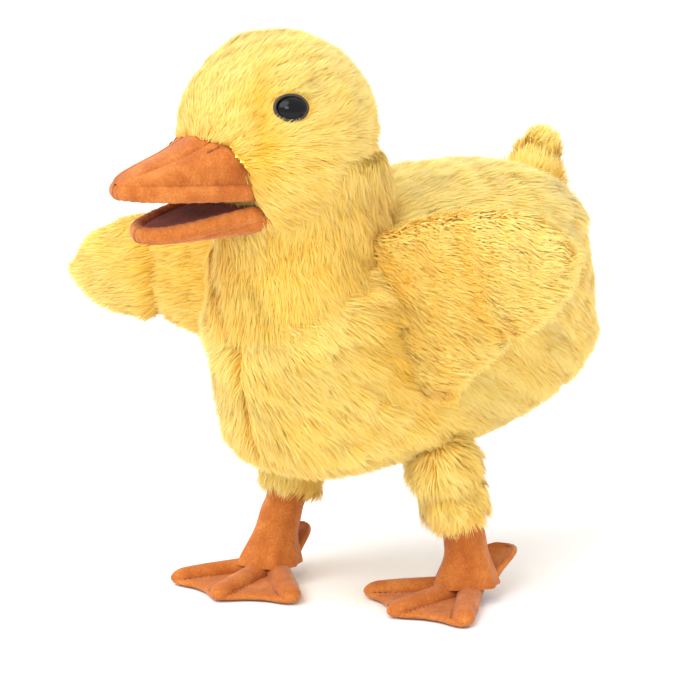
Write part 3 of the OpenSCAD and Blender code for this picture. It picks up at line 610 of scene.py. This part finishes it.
def head_painted_shade_tone(p, n):
    """Painted light and shade: cream over the crown and face, paler higher up, with a golden line of painted shade in
    the crease from the forehead down to the corner of the beak, ahead of the eye, and deeper gold painted shade under
    the chin."""
    h = into_head(p) / MM
    # Paler higher up: painted light from above.
    tone = 0.66 + 0.006 * (h[:, 2] - 20)
    d = h - head_centre
    azimuth = np.arctan2(np.abs(d[:, 0]), d[:, 1])
    # Painted shade along the crease ahead of the eye.
    crease = np.exp(-((azimuth - 0.74) / 0.17) ** 2)
    crease *= np.clip((58 - h[:, 2]) / 16, 0, 1) * np.clip((h[:, 2] - 8) / 12, 0, 1)
    # The last term is painted shade under the chin.
    return np.clip(tone - 0.62 * crease - 0.25 * np.exp(-((h[:, 2] + 16) / 9) ** 2), 0.05, 0.9)


def head_length(p):
    """Short pile round the beak and the eyes, longer on the crown, the cheeks and the nape, and longest
    where it hangs over the neck."""
    h = into_head(p) / MM
    near_eye = np.min([np.linalg.norm(p - m, axis=1) for m in eye_middles], 0) / MM
    face = np.clip((24 - h[:, 1]) / 34, 0.0, 1.0)
    drape = 1 + 0.45 * np.clip((8 - h[:, 2]) / 20, 0, 1) * face
    return (0.48 + 0.52 * face) * drape * np.clip(0.5 + (near_eye - 7) / 24, 0.5, 1.0)


def head_split(p):
    """Which points belong to the back of the head, the brow or the cheeks."""
    h = into_head(p) / MM
    front, above = h[:, 1] > -2, h[:, 2] > 0
    return {"back": ~front, "brow": front & above, "cheeks": front & ~above}


def split_side(which):
    """Keeps the strands of one part of the head; the beak, the eyes and the neck's room stay clear."""
    def keep(p, n):
        outside_neck = np.linalg.norm(p / MM - neck_at, axis=1) > 29
        return ~beak_opening(p, -1.8) & (eye_reach(p) > 1.0) & outside_neck & head_split(p)[which]
    return keep


head_inset = 3.0
full = head_grid(head_inset)
flat_points = full.reshape(-1, 3)
head_faces = grid_faces(full.shape[0], full.shape[1], True)
middles = flat_points[head_faces].mean(1)
in_eye = np.min([np.linalg.norm(middles - m, axis=1) for m in eye_middles], 0) / MM < 3.0
inside_neck = np.linalg.norm(middles / MM - neck_at, axis=1) < 27
solid = ~beak_opening(middles, -0.2) & ~inside_neck & ~in_eye
for part, chosen in head_split(middles).items():
    faces = head_faces[chosen & solid]
    used, faces = np.unique(faces, return_inverse=True)
    faces = faces.reshape(-1, 4)
    points = flat_points[used]
    a, b, c, d = (points[faces[:, k]] for k in range(4))
    if np.sum(np.cross(c - a, d - b) * ((a + b + c + d) / 4 - from_head(head_centre[None] * MM))) < 0:
        faces = faces[:, ::-1]
    skin = link_mesh("head_skin_" + part, points, faces, backing)
    hair = pile("head_pile_" + part, full, head_comb, plush, 31 + len(part), per_mm2=4.6, length=11.0, width=0.5,
                lift=0.42, keep=split_side(part), tone=head_painted_shade_tone, long_at=head_length, flow=0.13)
    for made in (skin, hair):
        if part == "back":
            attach(made, "head")
        else:
            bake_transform(made)
    if part == "back":
        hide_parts("head_panel_left", "head_panel_right", "crown_gusset", "head_stuffing", "head_lining",
                    "eye_washers")

# ---------- Eyes: glossy black oval safety eyes ----------
# Each is moulded acrylic with a polished dome, held by a stem and washer through the cloth.
acrylic, tree = new_material("polished_black_acrylic")
depth = on_object(tree, "ShaderNodeTexNoise", Scale=300.0).outputs[0]
surface(tree, {"Base Color": colour_ramp(tree, depth, [(0.35, "#030303"), (0.7, "#080606")]), "Roughness": 0.09,
               "IOR": 1.49, "Specular IOR Level": 0.2, "Coat Weight": 0.05, "Coat Roughness": 0.03})

# The flange round the dome: the same plastic unpolished, with the mould's fine grain.
flange, tree = new_material("matt_black_flange")
grain = on_object(tree, "ShaderNodeTexNoise", Scale=2200.0).outputs[0]
surface(tree, {"Base Color": colour_ramp(tree, grain, [(0.3, "#201D1A"), (0.7, "#34302B")]), "Roughness": 0.42})

for name, middle in zip(("eye_left", "eye_right"), eye_middles):
    eye = frame["nodes"][name]
    for slot_of in eye.material_slots:
        slot_of.material = acrylic
    out, level, up = eye_axes(middle)
    turn = circle(48)[:, None]
    long_way, short_way = level * (eye_w / 2 - 0.25) * np.cos(turn), up * (eye_h / 2 - 0.2) * np.sin(turn)
    oval = from_head(head_centre * MM) + (out * (head_r - 2.6) + long_way + short_way) * MM
    ring = tube_grid(oval, 0.75 * MM, True, up=tuple(out))
    made = sewn_surface(name + "_flange", np.concatenate([ring, ring[:1]]), flange)
    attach(made, "head")

# ---------- Beak: two stuffed suede halves with rolled rims ----------
# Each half is microfibre suede over a stiff board: the upper one has side panels and a raised
# strip between two seams, and both have a soft rolled rim and a brown velour lining.
def suede(name, dark, mid, pale, sheen=0.2):
    """Microfibre suede: a dull short nap that shows as soft blotches where it lies over, and a fine
    grain. The real grain is 0.1 mm; it is drawn at 0.9 mm so that it shows."""
    blotch_mm, nap_mm, relief_mm = 11, 0.9, 0.44
    made, tree = new_material(name)
    blotch = on_object(tree, "ShaderNodeTexNoise", Scale=1 / (blotch_mm * MM), Detail=5.0, Roughness=0.62)
    grain = on_object(tree, "ShaderNodeTexNoise", Scale=1 / (nap_mm * MM), Detail=3.0)
    mix = add_node(tree, "ShaderNodeMix", {"data_type": "FLOAT"}, {0: 0.35, 2: blotch.outputs[0], 3: grain.outputs[0]})
    surface(tree, {"Base Color": colour_ramp(tree, mix.outputs[0], [(0.34, dark), (0.5, mid), (0.66, pale)]),
                   "Roughness": 0.88, "Specular IOR Level": 0.2, "Sheen Weight": sheen, "Sheen Roughness": 0.4,
                   "Normal": bump(tree, 0.8, relief_mm * MM, grain.outputs[0])})
    return made


orange_suede = suede("orange_microfibre_suede", "#A2551F", "#B7682C", "#CB803F")
brown_velour = suede("brown_cotton_velour", "#7A3D2D", "#93503E", "#AC6650", sheen=0.08)

# Spun polyester thread, three-ply and dull: deep orange-brown in the seams.
thread, tree = new_material("spun_polyester_thread")
ply = on_object(tree, "ShaderNodeTexNoise", Scale=1500.0).outputs[0]
surface(tree, {"Base Color": colour_ramp(tree, ply, [(0.35, "#7E3F22"), (0.7, "#A45A31")]), "Roughness": 0.7})


def beak_half(p, angle):
    """Beak points (across, forward of the hinge, up from the mouth plane) in millimetres, tilted about
    the hinge by an angle that lifts the tip, and put into the puppet's frame."""
    s, z, cos, sin = p[..., 1], p[..., 2], math.cos(angle), math.sin(angle)
    turned = np.stack([p[..., 0], s * cos - z * sin, s * sin + z * cos], -1)
    return from_head(turned * MM)


def stitches(name, path, normal, pitch, length, width, material):
    """A row of sewn stitches: small pointed beads laid end to end along a path, with gaps between.
    Sizes are in millimetres, path and normal arrays in metres."""
    step = np.linalg.norm(np.diff(path, axis=0), axis=1)
    run = np.concatenate([[0], np.cumsum(step)])
    count = max(2, int(run[-1] / (pitch * MM)))
    where = (np.arange(count) + 0.5) * run[-1] / count

    def along(values, shift=0.0):
        return np.stack([np.interp(where + shift * MM, run, values[:, k]) for k in range(3)], -1)

    middle = along(path)
    ahead_of = along(path, 0.4) - along(path, -0.4)
    ahead_of = unit(ahead_of)
    up = along(np.broadcast_to(np.asarray(normal, float), (len(path), 3)))
    up = unit(up)
    side = np.cross(ahead_of, up)
    l, w = length * MM / 2, width * MM / 2
    eight = [-ahead_of * l, ahead_of * l]
    for turn in (0, 1, 2, 3):
        eight.append(side * w * math.cos(turn * math.pi / 2) + up * w * math.sin(turn * math.pi / 2))
    points = (middle[:, None] + np.stack(eight, 1)).reshape(-1, 3)
    around = np.array([[0, 3, 2], [0, 4, 3], [0, 5, 4], [0, 2, 5], [1, 2, 3], [1, 3, 4], [1, 4, 5], [1, 5, 2]])
    faces = (np.arange(count)[:, None, None] * 6 + around).reshape(-1, 3)
    return link_mesh(name, points, faces, material)


strip_edge = math.radians(66)


def upper_top(s):
    """Height of the upper beak above the mouth plane: straight at the root, then falling to the rim."""
    fall = np.clip((s - brow_s) / (beak_len - brow_s), 0, 1) ** 0.85
    return beak_h + (rim_h + 3.4 - beak_h) * fall


def upper_shell_point(s, a):
    """Arch across the upper beak: a rounded box section whose flat top is the strip, with a pinched
    seam each side of it. The end rounds down to the rim."""
    low = rim_h + 0.9 - 4.6 * np.clip((9 - s) / 9, 0, 1) ** 1.5
    end = np.sqrt(np.maximum(0.0, 1 - np.clip((s - 48) / (beak_len - 0.9 - 48), 0, 1) ** 3))
    high = low + (upper_top(s) - low) * (0.25 + 0.75 * end)
    pinch = sum(np.exp(-((a - e) / math.radians(2.6)) ** 2) for e in (strip_edge, math.pi - strip_edge))
    swell = 0.9 * np.exp(-((a - math.pi / 2) / math.radians(17)) ** 2) - 1.5 * pinch
    puff = sum(1.2 * np.sin(np.clip(e / strip_edge, 0, 1) * math.pi) for e in (a, math.pi - a))
    fade = np.clip((beak_len - s) / 16, 0, 1)
    box = 0.75 - 0.33 * np.clip((34 - s) / 16, 0, 1)
    root = np.clip((12 - s) / 12, 0, 1)
    w = np.maximum(half_width(s, beak_len - 0.4) - 3.4 + 3.0 * root, 0.2) + puff * 0.75 * fade
    x = w * signed_power(np.cos(a), 0.82)
    z = low + (high - low) * np.maximum(np.sin(a), 0) ** box + (swell + 0.4 * puff) * fade * np.sin(a)
    return np.stack([x, s, z], -1)


upper_root, lower_root = -8, -2.5
s_line = upper_root + (beak_len - 1.0 - upper_root) * np.sin(np.linspace(0, math.pi / 2, 64))
s, a = np.meshgrid(s_line, np.linspace(0.0, math.pi, 97), indexing="ij")
upper_shell = sewn_surface("upper_beak_shell", beak_half(upper_shell_point(s, a), upper_lift), orange_suede,
                           around=False)
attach(upper_shell, "upper_beak")
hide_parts("upper_beak_left", "upper_beak_right", "upper_beak_strip", "finger_pocket", "upper_board")


def outline_path(length, inset, z, rows=80, root=-5.0):
    """The plan outline of a beak half, drawn in by an inset: out along one side, round the tip and back."""
    s = root + (length - inset - root) * np.sin(np.linspace(0, math.pi / 2, rows))
    x = np.maximum(half_width(np.minimum(s + inset, length), length) - inset, 0)
    s, x = np.concatenate([s, s[-2::-1]]), np.concatenate([x, -x[-2::-1]])
    return np.stack([x, s, np.full_like(s, z)], -1)


def smooth_path(path, rounds=6):
    """Each inner point moves to the mean of itself and its neighbours, a few times."""
    for _ in range(rounds):
        path = path.copy()
        path[1:-1] = 0.5 * path[1:-1] + 0.25 * (path[:-2] + path[2:])
    return path


def rolled_rim(name, length, z, angle, radius, body, node):
    """The stuffed piping round a half: a soft tube whose girth wavers slightly with the gathers and runs
    out to nothing at the mouth corner."""
    path = smooth_path(outline_path(length, radius * 0.95, z))
    waver = radius * (1 + 0.035 * np.sin(np.arange(len(path)) * 1.1) + 0.02 * np.sin(np.arange(len(path)) * 2.7))
    waver = waver * (0.35 + 0.65 * np.clip((path[:, 1] + 1) / 9, 0, 1))
    grid = beak_half(tube_grid(path, waver, False, sides=18, squash=1.16), angle)
    made = sewn_surface(name, grid, orange_suede)
    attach(made, body)
    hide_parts(node)


def palate_point(s, x, length, side):
    """The velour lining: a shallow hollow across, with a sewn groove a little inside the rim. It rises to
    the mouth plane at the back, where the two linings meet."""
    w = half_width(np.minimum(s + 3.0, length), length) - 3.0
    edge = np.minimum((1 - np.abs(x)) * w, (length - 3.6 - s) * 0.9)
    groove = 0.9 * np.exp(-((edge - 3.6) / 0.8) ** 2)
    hollow = 1.0 * np.clip(edge / 9, 0, 1) ** 0.7
    back_of = np.clip((s - 4) / 14, 0, 1)
    return np.stack([x * w, s, side * (0.1 + (1.0 + hollow + groove) * back_of)], -1)


for body, length, side, angle, names in (
        ("upper_beak", beak_len, 1.0, upper_lift, ("upper_beak_rolled_rim", "upper_beak_rim",
         "upper_palate_lining", "upper_palate", "upper_palate_seam")),
        ("jaw", jaw_len, -1.0, -jaw_drop, ("lower_beak_rolled_rim", "lower_beak_rim",
         "lower_palate_lining", "lower_palate", "lower_palate_seam"))):
    rolled_rim(names[0], length, side * 3.6, angle, 3.0, body, names[1])
    across_x = np.sin(np.linspace(-math.pi / 2, math.pi / 2, 61))
    s, x = np.meshgrid(np.linspace(2.5, length - 3.6, 60), across_x, indexing="ij")
    lining = sewn_surface(names[2], beak_half(palate_point(s, x, length, side), angle), brown_velour, around=False)
    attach(lining, body)
    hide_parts(names[3])
    seam_path = smooth_path(outline_path(length, 6.6, side * 2.5, root=9.0))
    seam = stitches(names[4], beak_half(seam_path, angle), (0, 0, 1), 2.6, 1.9, 0.75, thread)
    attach(seam, body)


def lower_shell_point(s, a):
    """Trough under the lower beak: deep at the root and shallow at the tip, like the bowl of a spoon."""
    depth = jaw_h + (rim_h + 2.2 - jaw_h) * np.clip((s - 6) / (jaw_len - 6), 0, 1)
    low = rim_h + 0.6 - 4.2 * np.clip((7 - s) / 9, 0, 1) ** 1.5
    end = np.sqrt(np.maximum(0.0, 1 - np.clip((s - 40) / (jaw_len - 0.9 - 40), 0, 1) ** 3))
    w = np.maximum(half_width(s, jaw_len - 0.4) - 2.8, 0.2)
    w = w + 2.2 * np.clip((10 - s) / 10, 0, 1)
    z = -low - (depth - low) * (0.3 + 0.7 * end) * np.sin(a) ** 0.75
    return np.stack([w * signed_power(np.cos(a), 0.8), s, z], -1)


s_line = lower_root + (jaw_len - 1.0 - lower_root) * np.sin(np.linspace(0, math.pi / 2, 52))
s, a = np.meshgrid(s_line, np.linspace(0.0, math.pi, 61), indexing="ij")
lower_shell = sewn_surface("lower_beak_shell_suede", beak_half(lower_shell_point(s, a), -jaw_drop), orange_suede,
                           around=False)
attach(lower_shell, "jaw")
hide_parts("lower_beak_shell", "thumb_pocket", "lower_board")

# The fold of velour at the back of the mouth, between the two halves.
fold_half = 26
fold_x, fold_a = np.meshgrid(np.linspace(-fold_half, fold_half, 25), np.linspace(-1.25, 1.25, 15), indexing="ij")
fold_s = 5.5 - 3.2 * np.cos(fold_a) + 5.0 * np.cos(fold_x / fold_half * math.pi / 2) * np.cos(fold_a)
fold_grid = np.stack([fold_x, fold_s, 4.8 * np.sin(fold_a) - 0.6], -1)
fold = sewn_surface("mouth_corner_fold", from_head(fold_grid * MM), brown_velour, around=False)
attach(fold, "head")
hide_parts("mouth_fold")

# Nostrils: three short embroidered stitches on each side panel, in a slanting row.
for mark, centre_a in (("left", math.radians(43)), ("right", math.radians(137))):
    run = np.linspace(0, 1, 12)
    slit = upper_shell_point(21 + 5.4 * run, centre_a + (0.06 if mark == "left" else -0.06) * run)
    slit[:, 2] += 0.2
    made = stitches("nostril_" + mark, beak_half(slit, upper_lift), (0, 0, 1), 2.6, 3.4, 1.3, thread)
    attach(made, "upper_beak")
    if mark == "left":
        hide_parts("nostril_stitches")

# ---------- Wings: flat stuffed plush paddles that fold across the middle ----------
# Each wing is two matching pieces of plush sewn round the edge, lightly stuffed, with a sewn
# crease across it. The root is sewn along a line on the flank; each wing is made as a root piece and a paddle.
wing_len, wing_root, wing_t, wing_from = 104.0, 76.0, 16.0, 7.5
wing_at = np.array([body_w / 2 - 16, neck_at[1] + 8, body_z + 37])
lean_in, seam_share, lean_back = 14.5, 0.08, math.radians(12)
fold_at = wing_len * 0.5


def wing_axes(side, rise, sweep):
    """The wing's own axes (out, through, up) as columns, and the seam's lean: a turn back about x, then
    in about y, after the sweep about its own z; the right wing is the mirror image."""
    lean = math.radians(lean_in + rise * seam_share)
    sweep = math.radians(sweep)
    c, s = math.cos(lean), math.sin(lean)
    about_y = np.array([[c, 0, -s], [0, 1, 0], [s, 0, c]])
    c, s = math.cos(lean_back), math.sin(lean_back)
    about_x = np.array([[1, 0, 0], [0, c, -s], [0, s, c]])
    c, s = math.cos(sweep), math.sin(sweep)
    about_z = np.array([[c, s, 0], [-s, c, 0], [0, 0, 1]])
    return np.diag([side, 1.0, 1.0]) @ about_y @ about_x @ about_z, lean


def wing_point(x, a, side, rise, sweep, inset):
    """A ring round the wing at distance x, in millimetres: a flat oval between the upper and lower
    edges, both of which round in to the tip, with a soft dimple along the crease."""
    axes, lean = wing_axes(side, rise, sweep)
    slope = math.radians(rise) - lean
    t = x / wing_len
    tip_round = 1 - np.sqrt(np.maximum(0, 1 - (np.maximum(0, t - 0.72) / 0.285) ** 2))
    crease = np.exp(-((x - fold_at) / 5.0) ** 2)
    top = 5 + 7 * np.sin(math.pi / 2 * np.clip(t * 1.6, 0, 1)) - 17 * tip_round - inset
    low = 4 - wing_root + (wing_root - 30) * np.clip(t, 0, 1) ** 0.8 + 17 * tip_round + inset + 5.0 * crease
    thick = (wing_t * (1 - 0.38 * np.clip(t, 0, 1) ** 2.5) / 2 - inset * 0.8) * (1 - 0.30 * crease)
    end = np.where(t > 0.999, 0.05, 1.0)
    out = wing_from + (x - wing_from) * math.cos(slope)
    up = (x - wing_from) * math.sin(slope) + (top + low) / 2 + (top - low) / 2 * signed_power(np.sin(a), 0.75) * end
    through = thick * signed_power(np.cos(a), 0.9) * end
    p = np.stack([out, through, up], -1)
    return (p @ axes.T + np.array([side, 1, 1]) * wing_at) * MM


for word, side, rise, sweep in (("left", 1.0, 11, 8), ("right", -1.0, -14, 14)):
    axes, lean = wing_axes(side, rise, sweep)
    seat = np.array([side, 1, 1]) * wing_at

    def wing_comb(p, n, axes=axes):
        """The pile lies out along the wing and down to its lower edge."""
        return np.tile(axes @ np.array([1.0, 0.0, -0.42]), (len(p), 1))

    def wing_painted_light_and_shade_tone(p, n, axes=axes, seat=seat, side=side):
        """Painted light and shade: deep gold painted shade in the hollow by the root and along the crease, paler
        towards the tip, a painted rim light towards the upper and lower edges, and the right wing toned deeper than
        the left as painted shade.
        """
        q = (p / MM - seat) @ axes
        x = q[:, 0]
        # Painted shade on the right wing, in the root's hollow and the crease; painted rim light towards the upper and
        # lower edges.
        return (0.18 + 0.12 * side + 0.46 * np.clip(x / 85, 0, 1) - 0.22 * np.exp(-((x - fold_at * 0.95) / 7) ** 2)
                + 0.22 * np.clip((np.abs(q[:, 2] + 22) - 16) / 16, 0, 1))

    for piece, x0, x1, rows in (("root", -9.0, 20.0, 14), ("paddle", 17.0, wing_len, 46)):
        across_x = np.linspace(x0, x1, rows)
        if piece == "paddle":
            across_x = x0 + (x1 - x0) * np.sin(np.linspace(0, math.pi / 2, rows))
            across_x = np.concatenate([across_x, [wing_len * 1.0005]])
        x, a = np.meshgrid(across_x, circle(56), indexing="ij")
        grid = wing_point(x, a, side, rise, sweep, 2.6)
        skin = sewn_surface(f"wing_{word}_{piece}_skin", grid, backing)
        hair = pile(f"wing_{word}_{piece}_pile", grid, wing_comb, plush, 51 + rows + int(side), per_mm2=3.4,
                    length=11.0, width=0.6, lift=0.36, tone=wing_painted_light_and_shade_tone, flow=0.17)
        for made in (skin, hair):
            if piece == "root":
                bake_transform(made)
            else:
                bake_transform(made)
        if piece == "root":
            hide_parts(f"wing_{word}", f"wing_{word}_stuffing")
        else:
            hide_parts(f"wing_tip_{word}", f"wing_tip_{word}_stuffing")

# ---------- Legs: plush thigh cuffs over soft suede tubes ----------
# A short plush cuff is sewn under the body. The suede leg is a sewn, softly stuffed tube that is
# gathered on to the foot at the ankle, so that it flares there.
thigh_r, leg_r, cuff_len = 15.0, 9.0, 24.0
cuff_r = thigh_r - 2.6


def rings(centre, radius, fore, turn):
    """Rings round a line of centres, in the plane of x and fore, with a point at each angle of turn."""
    shape = np.cos(turn)[None, :, None] * np.array([1.0, 0, 0]) + np.sin(turn)[None, :, None] * fore
    return centre + radius[..., None] * shape


for word, side in (("left", 1.0), ("right", -1.0)):
    hip = joint_at(f"hip_{word}")
    ankle = joint_at(f"ankle_{word}")
    down = (ankle - hip) / np.linalg.norm(ankle - hip)
    fore = np.cross(down, np.array([1.0, 0, 0]))
    long = np.linalg.norm(ankle - hip)
    turn = circle(48)

    # The cuff: a rounded cap at the hip that runs down as a loose sleeve with a turned edge.
    k = np.linspace(0, 1, 26)
    cap = np.clip(k / 0.5, 0, 1) * math.radians(118)
    radius = cuff_r * np.where(k < 0.5, np.sin(cap), 0.883 + 0.05 * np.sin((k - 0.5) * 2 * math.pi))
    height = np.where(k < 0.5, -cuff_r * np.cos(cap), cuff_r * 0.469 + (k - 0.5) * 2 * (cuff_len - 6.5))
    radius[-1], height[-1] = leg_r + 0.6, cuff_len - 1.5
    radius[0] = 0.05
    grid = rings(hip + height[:, None, None] * down, radius[:, None], fore, turn)
    cuff = sewn_surface(f"thigh_cuff_{word}_skin", grid * MM, backing)
    # The cuff's tone is painted light: paler where the pile faces forward, towards the lights, deeper gold elsewhere.
    cuff_pile = pile(f"thigh_cuff_{word}_pile", grid * MM, lambda p, n, d=down: np.tile(d, (len(p), 1)), plush,
                     71 + int(side), per_mm2=4.2, length=11.5, width=0.6, lift=0.42,
                     tone=lambda p, n: 0.42 + 0.3 * np.clip(-n[:, 1], 0, 1))
    for made in (cuff, cuff_pile):
        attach(made, f"leg_{word}")
    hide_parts(f"thigh_cuff_{word}")

    # The tube: rings from inside the cuff to the foot; the last ones turn level and gather forward.
    k = np.linspace(0, 1, 40)
    flare = np.clip((k - 0.62) / 0.38, 0, 1)
    centre = hip + (12 + (long - 12) * k)[:, None] * down + np.outer(flare**2, [0.0, -3.5, -9.0])
    foot_yaw = math.radians(-4 if side > 0 else 14)
    centre[:, 0] += flare**2 * 3.0 * math.sin(foot_yaw)
    level = flare[:, None] ** 1.2
    fore_k = fore * (1 - level) + np.array([0, -1.0, 0]) * level * np.sign(-fore[1])
    fore_k = unit(fore_k)
    wide = leg_r * (1 + 0.03 * np.sin(k * 21)) * (1 + 0.55 * flare**2.2)
    gathers = 0.05 * flare[:, None] ** 1.5 * np.cos(9 * turn[None, :] + 0.7)
    ruck = 1 + gathers + 0.025 * np.sin(3 * turn[None, :] + 9 * k[:, None])
    grid = rings(centre[:, None], wide[:, None] * ruck, fore_k[:, None], turn)
    leg = sewn_surface(f"leg_{word}_suede", grid * MM, orange_suede)
    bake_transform(leg)
    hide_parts(f"leg_tube_{word}", f"leg_stuffing_{word}")

# ---------- Feet: flat suede paddles with three stuffed toes ----------
# Two layers of suede are topstitched together along the toes, lightly stuffed between the rows,
# and cut to a scalloped edge. A tab at the heel is left loose and curls up.
foot_len, foot_w = 49.0, 78.0
toe_angle = math.asin(min(0.9, (foot_w / 2 - 6) / foot_len))
for word, side, yaw in (("left", 1.0, math.radians(-4)), ("right", -1.0, math.radians(14))):
    ankle = joint_at(f"ankle_{word}")

    def on_foot(p, yaw=yaw, ankle=ankle):
        """Foot points (to the duck's left, ahead, up) in millimetres, turned about the ankle's upright."""
        x, y = p[..., 0], -p[..., 1]
        return np.stack([ankle[0] + x * math.cos(yaw) - y * math.sin(yaw),
                         ankle[1] + x * math.sin(yaw) + y * math.cos(yaw), p[..., 2]], -1) * MM

    # The web: each ray from the ankle is a thin closed section, and its end is scalloped between toes.
    ray = np.linspace(-toe_angle, toe_angle, 81)
    turn = circle(40)
    scallop = np.abs(np.cos(math.pi * ray / toe_angle))
    reach = foot_len * (0.845 + 0.115 * scallop ** 3)
    across_d = 0.5 + 0.5 * signed_power(np.cos(turn), 0.28)
    through_z = signed_power(np.sin(turn), 0.8)
    d = 4 + (reach[:, None] - 4) * across_d[None, :]
    sag = np.sin(math.pi * np.abs(ray) / toe_angle)[:, None] * np.clip(d / foot_len, 0, 1)
    swell = 1.6 * (1 - sag) * np.clip(1.1 - d / foot_len, 0, 1)
    z = 2.1 + through_z[None, :] * 1.75 + np.where(through_z[None, :] > 0, swell, 0)
    grid = np.stack([d * np.sin(ray)[:, None], d * np.cos(ray)[:, None], np.maximum(z, 0.3)], -1)
    web = sewn_surface(f"foot_web_{word}", on_foot(grid), orange_suede)
    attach(web, f"foot_{word}")
    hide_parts(f"foot_sole_{word}")

    # The toes: round stuffed tubes, flat below, that taper to blunt ends.
    for toe_name, at_angle, size in (("inner", -toe_angle, 0.97), ("middle", 0.0, 1.0), ("outer", toe_angle, 0.97)):
        k = np.linspace(0, 1, 44)
        d = 3 + (foot_len * size - 3) * np.sin(k * math.pi / 2)
        tip = np.sqrt(np.maximum(0, 1 - np.clip((d - foot_len * size + 7) / 7, 0, 1) ** 2))
        half = (5.8 - 1.5 * k) * (0.06 + 0.94 * tip)
        tall = (4.6 - 1.7 * k**1.5) * (0.06 + 0.94 * tip)
        turn = circle(28)
        off = half[:, None] * np.cos(turn) * (1 + 0.02 * np.sin(6 * k * math.pi))[:, None]
        z = 3.0 + (2.6 * (1 - k))[:, None] + tall[:, None] * np.sin(turn)
        x = d[:, None] * math.sin(at_angle) + off * math.cos(at_angle)
        y = d[:, None] * math.cos(at_angle) - off * math.sin(at_angle)
        toe = sewn_surface(f"toe_{toe_name}_{word}", on_foot(np.stack([x, y, np.maximum(z, 0.15)], -1)), orange_suede)
        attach(toe, f"foot_{word}")
        if toe_name == "middle":
            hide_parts(f"foot_top_{word}", f"toe_stuffing_{word}")
        for edge in (-1, 1):
            if abs(at_angle + edge * 0.01) > toe_angle:
                continue
            run = np.linspace(0.3, 0.93, 30)
            beside = at_angle + edge * np.arctan2(7.3 - 1.6 * run, foot_len * size * run)
            far = foot_len * size * run
            path = np.stack([far * np.sin(beside), far * np.cos(beside), np.full_like(run, 4.15)], -1)
            seam = stitches(f"toe_stitch_{toe_name}_{word}_{'a' if edge < 0 else 'b'}", on_foot(path), (0, 0, 1),
                            2.3, 1.8, 0.7, thread)
            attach(seam, f"foot_{word}")

    # The heel tab: a rounded tongue that rises and curls back from the ankle.
    u, w = np.meshgrid(np.linspace(0, 1, 22), np.linspace(-1, 1, 21), indexing="ij")
    half = 9.5 * np.sqrt(np.maximum(0.003, 1 - u**3))
    tab = np.stack([w * half, -6 - 17 * u, 9 + 13 * u**0.8 - 3.5 * u**2 + 2.0 * w**2], -1)
    heel = sewn_surface(f"heel_tab_{word}", on_foot(tab), orange_suede, around=False)
    thick = heel.modifiers.new("two_layers", "SOLIDIFY")
    thick.thickness = 0.0026
    thick.offset = 0
    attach(heel, f"foot_{word}")

# ---------- Tail: a short plush cone that stands up from the rump ----------
# A stuffed cone of plush, sewn shut at the tip and held to the back by a soft seam.
tail_at = joint_at("tail_tilt")
tail_r, tail_len, tail_lean = 13.0, 12.0, math.radians(-22)
tail_up = np.array([0, -math.sin(tail_lean), math.cos(tail_lean)])
tail_fore = np.array([0, math.cos(tail_lean), math.sin(tail_lean)])
k = np.linspace(0, 1, 34)
low_arc = np.radians(-60 + 70 * np.clip(k / 0.4, 0, 1))
top_arc = np.radians(14 + 76 * np.clip((k - 0.6) / 0.4, 0, 1))
root_r, tip_r = tail_r - 2.8, tail_r - 4 - 2.8
radius = np.where(k < 0.4, root_r * np.cos(low_arc), np.where(k > 0.6, tip_r * np.cos(top_arc),
                  root_r * 0.985 + (tip_r * 0.97 - root_r * 0.985) * (k - 0.4) / 0.2))
height = np.where(k < 0.4, root_r * np.sin(low_arc), np.where(k > 0.6, tail_len + tip_r * np.sin(top_arc),
                  root_r * 0.174 + (tail_len + tip_r * 0.242 - root_r * 0.174) * (k - 0.4) / 0.2))
radius = np.maximum(radius, 0.05)
turn = circle(40)
grid = rings(tail_at + height[:, None, None] * tail_up, radius[:, None], tail_fore, turn) * MM
tail = sewn_surface("tail_skin_plush", grid, backing)
# The tail's tone is painted light: paler where the pile faces up, deeper gold below.
tail_pile = pile("tail_pile", grid, lambda p, n: np.tile(tail_up, (len(p), 1)), plush, 81, per_mm2=4.2,
                 length=12.5, width=0.6, lift=0.45, tone=lambda p, n: 0.5 + 0.25 * n[:, 2])
for made in (tail, tail_pile):
    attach(made, "tail")
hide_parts("tail_skin", "tail_stuffing")
